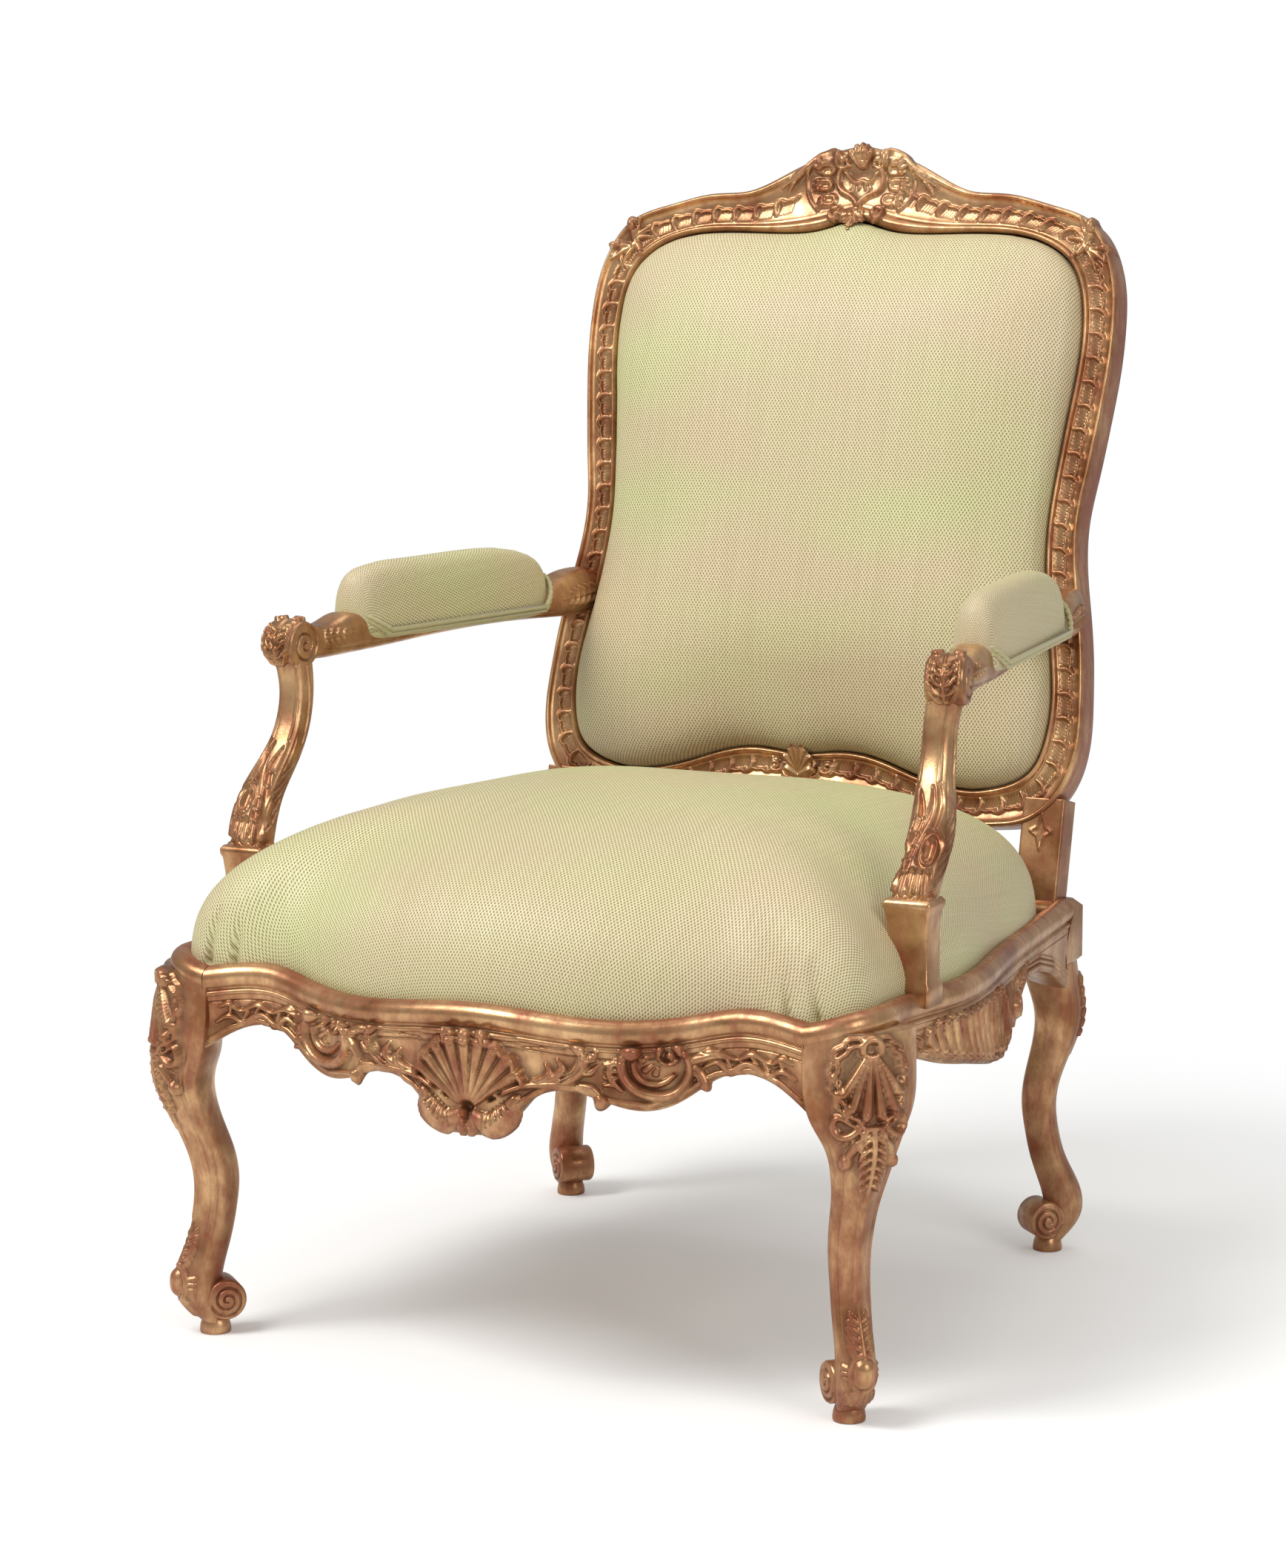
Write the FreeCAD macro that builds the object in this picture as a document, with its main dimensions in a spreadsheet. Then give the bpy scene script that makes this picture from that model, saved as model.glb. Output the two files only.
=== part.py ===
import FreeCAD, Part
import math
import os

from FreeCAD import Placement, Rotation, Vector

# Open armchair with a carved and gilded frame, a raked back and fixed upholstery.
# Millimetres. X to the right as seen from the front, Y to the back, Z up.
# Right-hand pieces are built first and the left-hand ones mirrored in the plane X = 0.
os.makedirs("parts", exist_ok=True)
doc = FreeCAD.newDocument("fauteuil")
sheet = doc.addObject("Spreadsheet::Sheet", "dims")

DIMENSIONS = (
    ("plan_shift", -34.06, "moves the chair so that its plan is centred on the origin"),
    ("front_foot_x", 307, "half the distance between the front feet"),
    ("rear_foot_x", 257, "half the distance between the rear feet"),
    ("foot_row_y", 299, "half the distance between the rows of feet"),
    ("foot_radius", 14, "pad under each scroll foot"),
    ("foot_height", 14, "pad under each scroll foot"),
    ("volute_radius", 18, "scroll of each foot"),
    ("back_plane_y", 175.4, "where the front plane of the back meets the floor"),
    ("rake", 13.7, "lean of the back in degrees"),
    ("frame_depth", 34, "thickness of the back frame"),
    ("bead_width", 9, "raised bead along both edges of the back frame"),
    ("cove_depth", 5, "hollow between those beads"),
    ("rebate_width", 9, "rear rebate that takes the back upholstery"),
    ("rebate_depth", 14, "rear rebate that takes the back upholstery"),
    ("crest_joint", 925, "height of the joint between crest rail and stiles"),
    ("lower_joint", 228, "half width of the lower back rail"),
    ("rail_face", 11, "seat rail face outside the cushion line"),
    ("rail_inside", 27, "seat rail inside the cushion line"),
    ("front_joint", 284, "half length of the front rail"),
    ("side_joint_front", -281, "front end of the side rails"),
    ("side_joint_rear", 238, "rear end of the side rails"),
    ("ledge_height", 316, "ledge on the rails that carries the webbing"),
    ("torus_radius", 11, "rounded lip round the seat"),
    ("rear_rail_depth", 44, "rear seat rail"),
    ("rear_rail_drop", 62, "rear seat rail"),
    ("tenon_thickness", 11, "mortise and tenon joints"),
    ("tenon_length", 24, "mortise and tenon joints"),
    ("tenon_height", 30, "mortise and tenon joints"),
    ("peg_radius", 3, "oak pegs through the tenons"),
    ("web_width", 52, "jute webbing"),
    ("web_thickness", 1.6, "jute webbing"),
    ("web_pitch", 74, "jute webbing"),
    ("hessian_thickness", 1, "hessian over the webbing"),
    ("cover_thickness", 1.5, "fabric cover with its wadding"),
    ("seat_crown", 474, "top of the seat"),
    ("back_crown", 46, "how far the back pad stands proud of the frame"),
    ("scroll_radius", 21, "scroll at the front of each arm"),
    ("arm_width", 36, "arm at the scroll"),
    ("pad_half_width", 25, "arm pad"),
    ("pad_foot", 598, "height of the lower edge of the arm pad"),
    ("channel_width", 41, "room for the arm below its pad"),
    ("channel_top", 617.5, "room for the arm below its pad"),
    ("welt_radius", 2.2, "each of the two cords of the welt"),
    ("plinth_width", 41, "block under each arm support"),
    ("plinth_depth", 34, "block under each arm support"),
    ("plinth_top", 424, "block under each arm support"),
    ("brace_leg", 62, "corner braces"),
    ("brace_height", 26, "corner braces"),
    ("screw_radius", 2.2, "brace screws"),
    ("screw_head", 4.5, "brace screws"),
)
for row, (alias, value, meaning) in enumerate(DIMENSIONS, 1):
    sheet.set(f"A{row}", alias)
    sheet.set(f"B{row}", str(value))
    sheet.set(f"C{row}", meaning)
    sheet.setAlias(f"B{row}", alias)
doc.recompute()


def dim(alias):
    return float(sheet.get(alias))


RIGHT_WAY = Vector(1, 0, 0)
SHIFT = Vector(0, dim("plan_shift"), 0)
RAKE = math.radians(dim("rake"))
# Back frame coordinates: u to the right, v up along the rake, w towards the sitter.
BACK = Placement(Vector(0, dim("back_plane_y"), 0) + SHIFT, Rotation(RIGHT_WAY, 90 - dim("rake")))


def at(x, y, z=0.0):
    return Vector(x, y, z) + SHIFT


def on_back(u, z, w=0.0):
    """A point given by its height z on the plane of the back, w in front of it."""
    return BACK.multVec(Vector(u, z / math.cos(RAKE), w))


def add(kind, name, **formulas):
    """A document object whose sizes follow the sheet."""
    obj = doc.addObject(kind, name)
    for prop, formula in formulas.items():
        obj.setExpression(prop, formula)
    return obj


def solid(name, shape):
    obj = doc.addObject("Part::Feature", name)
    obj.Shape = shape
    return obj


def fuse(name, pieces):
    obj = doc.addObject("Part::MultiFuse", name)
    obj.Shapes = pieces
    return obj


def common(name, base, tool):
    obj = doc.addObject("Part::Common", name)
    obj.Base, obj.Tool = base, tool
    return obj


def group(name, pieces):
    obj = doc.addObject("Part::Compound", name)
    obj.Links = pieces
    return obj


def cut(name, base, tools):
    obj = doc.addObject("Part::Cut", name)
    obj.Base = base
    obj.Tool = tools[0] if len(tools) == 1 else fuse(name + "_waste", tools)
    return obj


def mirrored(name, source):
    obj = doc.addObject("Part::Mirroring", name)
    obj.Source = source
    obj.Base, obj.Normal = Vector(0, 0, 0), RIGHT_WAY
    return obj


def block(name, low, high):
    """A box between two corners, for regions and cuts."""
    obj = doc.addObject("Part::Box", name)
    size = high - low
    obj.Length, obj.Width, obj.Height = size.x, size.y, size.z
    obj.Placement = Placement(low, Rotation())
    return obj


def curve(points, closed=False):
    line = Part.BSplineCurve()
    line.interpolate(points, PeriodicFlag=closed)
    return line.toShape()


def section(points, like=None):
    """A closed loft section; sections spaced like one master outline share its parameters."""
    ring = list(like or points)
    ring.append(ring[0])
    steps = [0.0]
    for a, b in zip(ring, ring[1:]):
        steps.append(steps[-1] + (b - a).Length)
    line = Part.BSplineCurve()
    line.interpolate(Points=points, PeriodicFlag=True, Parameters=[s / steps[-1] for s in steps])
    return Part.Wire([line.toShape()])


def both_sides(half):
    """A half outline that starts on the centre line, with its mirror image, left to right."""
    left = [(-p[0],) + tuple(p[1:]) for p in reversed(half)]
    joined = left[:-1] if half[0][0] == 0 else left
    return joined + list(half)


def prism(edges, direction):
    return Part.Face(Part.Wire(edges)).extrude(direction)


def loop_prism(points, direction):
    return prism([curve(points, closed=True)], direction)


def superellipse(centre, along, across, power, count=16):
    """A closed rounded section; power 2 is an ellipse and 1 a diamond."""
    points, master = [], []
    for i in range(count):
        c, s = math.cos(2 * math.pi * i / count), math.sin(2 * math.pi * i / count)
        master.append(Vector(c, s, 0))
        c, s = (math.copysign(abs(k) ** (2 / power), k) for k in (c, s))
        points.append(centre + along * c + across * s)
    return section(points, master)


nodes = {}


def node(name, obj):
    """Names a finished sub-part of the chair."""
    obj.Label = name
    nodes[name] = obj
    return obj


def pair(name, right):
    node(name + "_right", right)
    node(name + "_left", mirrored(name + "_left", right))


def plane_of(body, role):
    return next(f for f in body.Origin.OriginFeatures if f.Role == role)


def sketched_body(name, role, edges, length, reverse=False):
    """A body padded from one sketch on an origin plane; length is a sheet formula."""
    body = doc.addObject("PartDesign::Body", name)
    sketch = body.newObject("Sketcher::SketchObject", name + "_sketch")
    sketch.AttachmentSupport = [(plane_of(body, role), "")]
    sketch.MapMode = "FlatFace"
    sketch.addGeometry(edges, False)
    doc.recompute()
    pad = body.newObject("PartDesign::Pad", name + "_pad")
    pad.Profile = sketch
    pad.Reversed = reverse
    pad.setExpression("Length", length)
    body.Tip = pad
    doc.recompute()
    return body


def polygon(points):
    ends = [Vector(*p, 0) for p in points]
    return [Part.LineSegment(a, b) for a, b in zip(ends, ends[1:] + ends[:1])]


# Cushion line: where the upholstery meets the rounded lip of the seat frame.
LIP = (
    (0, -378, 339),
    (128, -358, 331),
    (180, -338, 336),
    (218, -327, 343),
    (279, -334, 338),
    (315, -322, 347),
    (325, -300, 349),
    (323, -260, 348),
    (330, -150, 345),
    (308, 20, 345),
    (289, 173, 348),
    (285, 244, 352),
)
WELL_REAR = ((274, 212), (241, 243), (130, 253))


def seat_loop(z, scale=1.0, centre_y=-60.0):
    """The cushion line in plan, drawn in towards the middle of the seat."""
    half = [(x, y) for x, y, _ in LIP[:-1]] + list(WELL_REAR)
    ring = [(x, y) for x, y in half] + [(-x, y) for x, y in reversed(half[1:])]
    return [at(x * scale, centre_y + (y - centre_y) * scale, z) for x, y in ring]


well = solid("seat_well", loop_prism(seat_loop(dim("ledge_height")), Vector(0, 0, 90)))

# Rounded lip: one line round the front and sides, divided between the rails and legs it belongs to.
lip_line = [at(x, y - 4, z - 10) if y < -325 else at(x + 4, y, z - 10) for x, y, z in LIP]
lip_path = [Vector(-p.x, p.y, p.z) for p in reversed(lip_line)][:-1] + lip_line
lip_curve = Part.BSplineCurve()
lip_curve.interpolate(lip_path)


def lip_parameter(is_past):
    """Where the right-hand half of the lip line first passes a joint."""
    low = lip_curve.parameter(lip_line[0])
    high = lip_curve.LastParameter
    for _ in range(40):
        middle = (low + high) / 2
        low, high = (low, middle) if is_past(lip_curve.value(middle)) else (middle, high)
    return low


def round_sweep(name, line, radius):
    """A round bar along a curve; radius is a sheet formula."""
    spine = solid(name + "_line", line.toShape())
    section = add("Part::Circle", name + "_section", Radius=radius)
    first = line.FirstParameter
    section.Placement = Placement(line.value(first), Rotation(Vector(0, 0, 1), line.tangent(first)[0]))
    sweep = doc.addObject("Part::Sweep", name)
    sweep.Sections, sweep.Spine = [section], (spine, ["Edge1"])
    sweep.Solid, sweep.Frenet = True, False
    return sweep


def lip_piece(name, first, last):
    """A length of the rounded lip, square-ended at the joints."""
    line = lip_curve.copy()
    line.segment(first, last)
    return round_sweep(name, line, "dims.torus_radius")


front_end = lip_parameter(lambda p: p.x > dim("front_joint"))
side_start = lip_parameter(lambda p: p.y > dim("side_joint_front") + SHIFT.y)
side_end = lip_parameter(lambda p: p.y > dim("side_joint_rear") + SHIFT.y)
lip_middle = lip_curve.parameter(lip_line[0])
front_lip = lip_piece("front_lip", 2 * lip_middle - front_end, front_end)
corner_lip = lip_piece("corner_lip", front_end, side_start)
side_lip = lip_piece("side_lip", side_start, side_end)

# Tenons: one box on each end of a member, cut out of the piece that receives it.
TENON = {"thick": "dims.tenon_thickness", "long": "dims.tenon_length", "high": "dims.tenon_height"}


def tenon(name, middle, along):
    """A tenon centred on middle that runs along 'x', 'y' or 'z'."""
    order = {"x": ("long", "thick", "high"), "y": ("thick", "long", "high"), "z": ("thick", "high", "long")}
    sizes = order[along]
    box = add("Part::Box", name, Length=TENON[sizes[0]], Width=TENON[sizes[1]], Height=TENON[sizes[2]])
    values = {"thick": dim("tenon_thickness"), "long": dim("tenon_length"), "high": dim("tenon_height")}
    corner = middle - Vector(*(values[s] / 2 for s in sizes))
    box.Placement = Placement(corner, Rotation())
    return box


def peg(name, start_point, direction, length):
    pin = add("Part::Cylinder", name, Radius="dims.peg_radius")
    pin.Height = length
    pin.Placement = Placement(start_point, Rotation(Vector(0, 0, 1), direction))
    return pin


half_tenon = dim("tenon_length") / 2
front_joint = dim("front_joint")
side_front = dim("side_joint_front")
side_rear = dim("side_joint_rear")
rear_rail_y = 240 + dim("rear_rail_depth") / 2
RAIL_TENON_Z = 297
front_tenon = tenon("front_tenon", at(front_joint + half_tenon, -325, RAIL_TENON_Z), "x")
side_tenon_front = tenon("side_tenon_front", at(319, side_front - half_tenon, RAIL_TENON_Z - 8), "y")
side_tenon_rear = tenon("side_tenon_rear", at(277, side_rear + half_tenon, 322), "y")
rear_tenon = tenon("rear_tenon", at(236 + half_tenon, rear_rail_y, 312), "x")
arm_tenon = tenon("arm_tenon", at(257, 334, 611), "y")
support_head = tenon("support_head", at(320, -131, 594), "z")
support_foot = tenon("support_foot", at(322, -205, 326), "z")


def back_tenon(name, length, width, u, v):
    """A tenon in the thickness of the back frame, from its lowest corner on the back plane."""
    box = add("Part::Box", name, Height="dims.tenon_thickness")
    box.Length, box.Width = length, width
    box.Placement = BACK * Placement(Vector(u, v, -18), Rotation())
    return box


crest_tenon = back_tenon("crest_tenon", 20, 22, 245, dim("crest_joint") / math.cos(RAKE) - 22)
lower_tenon = back_tenon("lower_tenon", 22, 20, dim("lower_joint"), 422 / math.cos(RAKE))

# Front rail: serpentine in plan, its lower edge cut to an apron with a central shell.
APRON = (
    (0, 233),
    (30, 238),
    (52, 261),
    (72, 272),
    (96, 272),
    (125, 262),
    (151, 259),
    (175, 268),
    (203, 287),
    (236, 292),
    (262, 284),
    (front_joint, 270),
)


def rail_band(outer, inner, top, bottom):
    """A strip of plan between two curves, raised to a rail's full height."""
    face, back = curve(outer), curve(inner)
    last = Part.makeLine(face.Vertexes[-1].Point, back.Vertexes[-1].Point)
    first = Part.makeLine(back.Vertexes[0].Point, face.Vertexes[0].Point)
    lift = Vector(0, 0, top - bottom)
    return prism([face, last, back, first], lift).translated(Vector(0, 0, bottom))


front_plan = [(0, -378), (128, -358), (180, -338), (218, -327), (front_joint, -334)]
front_face = [at(x, y - dim("rail_face")) for x, y in both_sides(front_plan)]
front_back = [at(x, y + dim("rail_inside")) for x, y in both_sides(front_plan)]
front_band = rail_band(front_face, front_back, 360, 220)
front_top = [p for p in LIP if p[0] < front_joint]
crown_line = curve([at(x, -450, z) for x, _, z in both_sides(front_top[:-1] + [(front_joint, 0, 338)])])
apron_line = curve([at(x, -450, z) for x, z in both_sides(APRON)])
front_sides = [
    Part.makeLine(apron_line.Vertexes[i].Point, crown_line.Vertexes[i].Point) for i in (0, -1)
]
front_view = prism([crown_line, front_sides[1], apron_line, front_sides[0]], Vector(0, 250, 0))
front_blank = solid("front_rail_blank", front_band.common(front_view))

# Shell of the apron: seven tapering ribs that fan up from a hub near its lower edge.
shell_ribs = []
SHELL_HUB = at(0, -388, 250)
for i in range(7):
    angle = math.radians(90 + 22 * (i - 3))
    way = Vector(math.cos(angle), 0, math.sin(angle))
    reach = 53 - 2 * abs(i - 3)
    shell_ribs.append(Part.makeCone(2.5, 7.5, reach, SHELL_HUB + way * 8, way))
shell_relief = solid("apron_shell", shell_ribs[0].multiFuse(shell_ribs[1:]).removeSplitter())
front_tenon_left = mirrored("front_tenon_left", front_tenon)
front_solid = fuse("front_rail_solid", [front_blank, front_lip, shell_relief])
front_body = cut("front_rail_body", front_solid, [well])
front_rail = node("front_rail", fuse("front_rail", [front_body, front_tenon, front_tenon_left]))

# Side rail: follows the cushion line, its lower edge cut to an apron with a fluted cartouche.
SIDE_APRON = (
    (side_front, 281),
    (-255, 297),
    (-225, 296),
    (-185, 284),
    (-128, 272),
    (-60, 258),
    (-15, 257),
    (30, 276),
    (70, 283),
    (108, 302),
    (150, 301),
    (195, 290),
    (side_rear, 270),
)
side_plan = [(324, side_front), (323, -260), (330, -150), (308, 20), (289, 173), (285.3, side_rear)]
side_face = [at(x + dim("rail_face"), y) for x, y in side_plan]
side_back = [at(x - dim("rail_inside"), y) for x, y in side_plan]
side_band = rail_band(side_face, side_back, 345, 240)
side_line = curve([at(150, y, z) for y, z in SIDE_APRON])
side_top = [side_line.Vertexes[i].Point + Vector(0, 0, 120) for i in (0, -1)]
side_view = prism(
    [
        side_line,
        Part.makeLine(side_line.Vertexes[-1].Point, side_top[1]),
        Part.makeLine(side_top[1], side_top[0]),
        Part.makeLine(side_top[0], side_line.Vertexes[0].Point),
    ],
    Vector(300, 0, 0),
)
side_blank = solid("side_rail_blank", side_band.common(side_view))
flutes = []
for i in range(7):
    y = -106 + 22 * i
    fan = (i - 3) * 0.16
    foot = at(336 - 0.118 * (y + 110), y, 312 - 2 * abs(i - 3))
    flute = Part.makeCone(4, 7.5, 40 - 4 * abs(i - 3), foot, Vector(0, math.sin(fan), -math.cos(fan)))
    flutes.append(flute)
cartouche = solid("side_cartouche", flutes[0].multiFuse(flutes[1:]).removeSplitter())
plinth_seat = block("plinth_seat", at(296, -222, 335), at(380, -188, 460))
side_solid = fuse("side_rail_solid", [side_blank, side_lip, cartouche])
side_body = cut("side_rail_body", side_solid, [well, plinth_seat, support_foot])
pair("side_rail", fuse("side_rail", [side_body, side_tenon_front, side_tenon_rear]))

# Rear rail: plain board between the rear legs with a shallow arch below.
rear_half = 236
rear_edges = [
    Part.LineSegment(Vector(-rear_half, 345, 0), Vector(rear_half, 345, 0)),
    Part.LineSegment(Vector(rear_half, 345, 0), Vector(rear_half, 345 - dim("rear_rail_drop"), 0)),
    Part.Arc(
        Vector(rear_half, 345 - dim("rear_rail_drop"), 0),
        Vector(0, 357 - dim("rear_rail_drop"), 0),
        Vector(-rear_half, 345 - dim("rear_rail_drop"), 0),
    ),
    Part.LineSegment(Vector(-rear_half, 345 - dim("rear_rail_drop"), 0), Vector(-rear_half, 345, 0)),
]
rear_blank = sketched_body("rear_rail_board", "XZ_Plane", rear_edges, "dims.rear_rail_depth", True)
rear_blank.Placement = Placement(at(0, 240, 0), Rotation())
rear_tenon_left = mirrored("rear_tenon_left", rear_tenon)
rear_cut = cut("rear_rail_body", rear_blank, [well])
rear_rail = node("rear_rail", fuse("rear_rail", [rear_cut, rear_tenon, rear_tenon_left]))

# Legs: cabriole, set on the diagonal, with a scroll foot turned under on a round pad.
# Each row is height, centre along the diagonal from the foot, half depth, half width, corner power.
FRONT_LEG = (
    (13, 5, 9, 13, 2.0),
    (26, 10, 16, 16, 1.8),
    (44, 14, 20, 17.5, 1.7),
    (62, 11.5, 20.5, 17, 1.6),
    (86, 3.5, 19, 16.5, 1.6),
    (112, -2, 18.8, 16.5, 1.6),
    (138, -4, 19.5, 17.5, 1.6),
    (165, 0.5, 20.3, 19, 1.55),
    (190, 10, 21, 21, 1.5),
    (214, 19, 23, 24.5, 1.45),
    (238, 24, 26, 28, 1.4),
    (258, 20, 30, 32, 1.4),
    (282, 12, 35, 37, 1.35),
    (310, 5, 37, 38, 1.35),
    (343, 0, 37, 38, 1.35),
)
REAR_LEG = (
    (13, 6, 9, 13, 2.0),
    (26, 13, 16, 16, 1.8),
    (44, 16, 19.5, 17.5, 1.7),
    (62, 12, 20, 17, 1.6),
    (90, 0, 18, 16, 1.6),
    (120, -8, 17, 16, 1.6),
    (148, -11, 17.5, 17, 1.6),
    (175, -6, 19, 18.5, 1.6),
    (202, 3, 21.5, 20.5, 1.6),
    (230, 8, 24, 23, 1.6),
    (258, 3, 26.5, 25, 1.6),
    (285, -4, 29, 27.5, 1.6),
    (341, -9, 29, 28, 1.6),
)


def leg(name, foot, facing, profile, volute_at):
    """A leg on its foot point, with the knee turned to the compass angle facing."""
    out = Vector(math.cos(math.radians(facing)), math.sin(math.radians(facing)), 0)
    across = Vector(-out.y, out.x, 0)
    sections = [
        superellipse(foot + out * r + Vector(0, 0, z), out * a, across * b, power)
        for z, r, a, b, power in profile
    ]
    shaft = solid(name + "_shaft", Part.makeLoft(sections, True, False))
    pad = add(
        "Part::Cone", name + "_pad", Radius1="dims.foot_radius", Radius2="dims.foot_radius - 2.5",
        Height="dims.foot_height",
    )
    pad.Placement = Placement(foot, Rotation())
    pieces = [shaft, pad]
    for step, (shrink, width) in enumerate(((0, 34), (7, 38), (12.5, 42))):
        turn = add("Part::Cylinder", f"{name}_volute{step}", Radius=f"dims.volute_radius - {shrink}")
        turn.Height = width
        eye = foot + out * volute_at[0] + Vector(0, 0, volute_at[1]) - across * (width / 2)
        turn.Placement = Placement(eye, Rotation(Vector(0, 0, 1), across))
        pieces.append(turn)
    return pieces


front_foot = at(dim("front_foot_x"), -dim("foot_row_y"))
rear_foot = at(dim("rear_foot_x"), dim("foot_row_y"))
front_pieces = leg("front_leg", front_foot, -45, FRONT_LEG, (-7, 32))
rear_pieces = leg("rear_leg", rear_foot, 45, REAR_LEG, (-7, 32))

# Knee shell of a front leg: five ribs that hang from below the lip over the corner of the block.
knee_out = Vector(math.cos(math.radians(-45)), math.sin(math.radians(-45)), 0)
knee_side = Vector(-knee_out.y, knee_out.x, 0)
knee_hook = front_foot + knee_out * 40 + Vector(0, 0, 326)
for i in range(5):
    fan = math.radians(26 * (i - 2))
    way = Vector(0, 0, -math.cos(fan)) + knee_side * math.sin(fan) - knee_out * (0.29 * abs(i - 2) - 0.11)
    front_pieces.append(solid(f"knee_rib{i}", Part.makeCone(2.5, 7, 54 - 3 * abs(i - 2), knee_hook, way)))
front_leg_zone = block("front_leg_zone", at(front_joint, -460, -5), at(420, side_front, 400))
front_leg_low = block("front_leg_low", at(200, -460, -5), at(420, -200, 262))
front_leg_space = fuse("front_leg_space", [front_leg_zone, front_leg_low])
front_leg_trim = common("front_leg_trim", fuse("front_leg_solid", front_pieces), front_leg_space)
front_leg_body = fuse("front_leg_body", [front_leg_trim, corner_lip])

# Back frame: one ring of outline, beaded along both edges and rebated behind,
# divided into the crest rail, the two stiles and the lower rail.
BACK_INNER = (
    (0, 978), (51, 967), (110, 967), (186, 962), (236, 925), (246, 851), (234, 740), (232, 660),
    (240, 603), (251, 530), (247, 487), (221, 453), (179, 443), (118, 454), (69, 469), (31, 470), (0, 466),
)
BACK_OUTER = (
    (0, 1050), (20, 1047), (36, 1036), (62, 1033), (88, 1019), (112, 1008), (150, 1005), (195, 996),
    (240, 981), (266, 953), (277, 910), (278, 850), (270, 770), (261, 700), (264, 650), (272, 610),
    (279, 560), (283, 510), (278, 465), (262, 434), (230, 414), (180, 409), (120, 419), (70, 431), (0, 436),
)


def back_loop(half, offset=0.0, w=0.0, scale=1.0, middle=710.0):
    """A closed half outline and its mirror image on the back plane, moved out by offset."""
    ring = list(half) + [(-u, z) for u, z in reversed(half[1:-1])]
    moved = []
    for i, (u, z) in enumerate(ring):
        before, after = ring[i - 1], ring[(i + 1) % len(ring)]
        du, dz = after[0] - before[0], after[1] - before[1]
        size = math.hypot(du, dz)
        moved.append((u - dz / size * offset, z + du / size * offset))
    return [on_back(u * scale, middle + (z - middle) * scale, w) for u, z in moved]


def back_slab(half, offset, front, depth):
    return loop_prism(back_loop(half, offset, front), BACK.Rotation.multVec(Vector(0, 0, -depth)))


bead, depth = dim("bead_width"), dim("frame_depth")
ring = back_slab(BACK_OUTER, 0, 0, depth).cut(back_slab(BACK_INNER, 0, 1, depth + 2))
cove = back_slab(BACK_OUTER, -bead, 1, dim("cove_depth") + 1)
cove = cove.cut(back_slab(BACK_INNER, bead, 2, dim("cove_depth") + 3))
rebate = back_slab(BACK_INNER, dim("rebate_width"), dim("rebate_depth") - depth, dim("rebate_depth") + 1)
back_ring = solid("back_ring", ring.cut(cove).cut(rebate))


def back_zone(name, low_u, high_u, low_z, high_z):
    """A region of the back frame, square to its plane."""
    scale = 1 / math.cos(RAKE)
    obj = doc.addObject("Part::Box", name)
    obj.Length, obj.Width, obj.Height = high_u - low_u, (high_z - low_z) * scale, 200
    obj.Placement = BACK * Placement(Vector(low_u, low_z * scale, -100), Rotation())
    return obj


crest_joint, lower_joint = dim("crest_joint"), dim("lower_joint")
crest_zone = back_zone("crest_zone", -400, 400, crest_joint, 1200)
lower_zone = back_zone("lower_zone", -lower_joint, lower_joint, 380, 600)
stile_zone = back_zone("stile_zone", lower_joint, 400, 380, crest_joint)

# Crest: a domed cartouche between two scroll bosses, over the middle of the rail.
boss = Part.makeSphere(62, on_back(0, 1008, -50), BACK.Rotation.multVec(Vector(0, 0, 1)))
crest_pieces = [common("crest_blank", back_ring, crest_zone), solid("crest_boss", boss)]
crest_slab = solid("crest_slab", back_slab(BACK_OUTER, 0, 20, depth + 20))
crest_clear = solid("crest_clear", back_slab(BACK_INNER, 0, 40, 200))
crest_carving = common("crest_carving", crest_pieces[1], crest_slab)
crest_carved = cut("crest_carved", crest_carving, [crest_clear])
for i, (u, z, radius) in enumerate(((58, 1010, 15), (96, 995, 11))):
    for side in (-1, 1):
        knob = Part.makeCone(radius, 0.5 * radius, 16, on_back(side * u, z, -8), BACK.Rotation.multVec(Vector(0, 0, 1)))
        crest_pieces.append(solid(f"crest_knob{i}{side + 1}", knob))
crest_tenon_left = mirrored("crest_tenon_left", crest_tenon)
crest_pieces[1] = crest_carved
crest_rail = node("crest_rail", fuse("crest_rail", crest_pieces + [crest_tenon, crest_tenon_left]))

# Lower back rail with a small raised shell at its middle.
lower_boss = doc.addObject("Part::Cone", "lower_boss")
lower_boss.Radius1, lower_boss.Radius2, lower_boss.Height = 18, 10, 12
lower_boss.Placement = Placement(on_back(0, 452, -8), BACK.Rotation)
lower_pieces = [common("lower_blank", back_ring, lower_zone), lower_boss]
lower_tenon_left = mirrored("lower_tenon_left", lower_tenon)
lower_rail = node("lower_back_rail", fuse("lower_back_rail", lower_pieces + [lower_tenon, lower_tenon_left]))

# Rear leg continues as the post above the seat and the stile of the back.
rear_post = back_zone("rear_post", 232, 274, 285, 440)
rear_post.Height = 32
rear_post.Placement = BACK * Placement(Vector(232, 285 / math.cos(RAKE), -33), Rotation())
rear_cheek = block("rear_cheek", at(236, side_rear, 284), at(291, 296, 346.5))
stile = common("stile", back_ring, stile_zone)
rear_leg_solid = fuse("rear_leg_solid", rear_pieces + [rear_cheek, rear_post, stile])
rear_side = block("rear_side", at(150, 150, 262), at(420, side_rear, 400))
rear_inner = block("rear_inner", at(150, 150, 262), at(rear_half, 330, 345))

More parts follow.
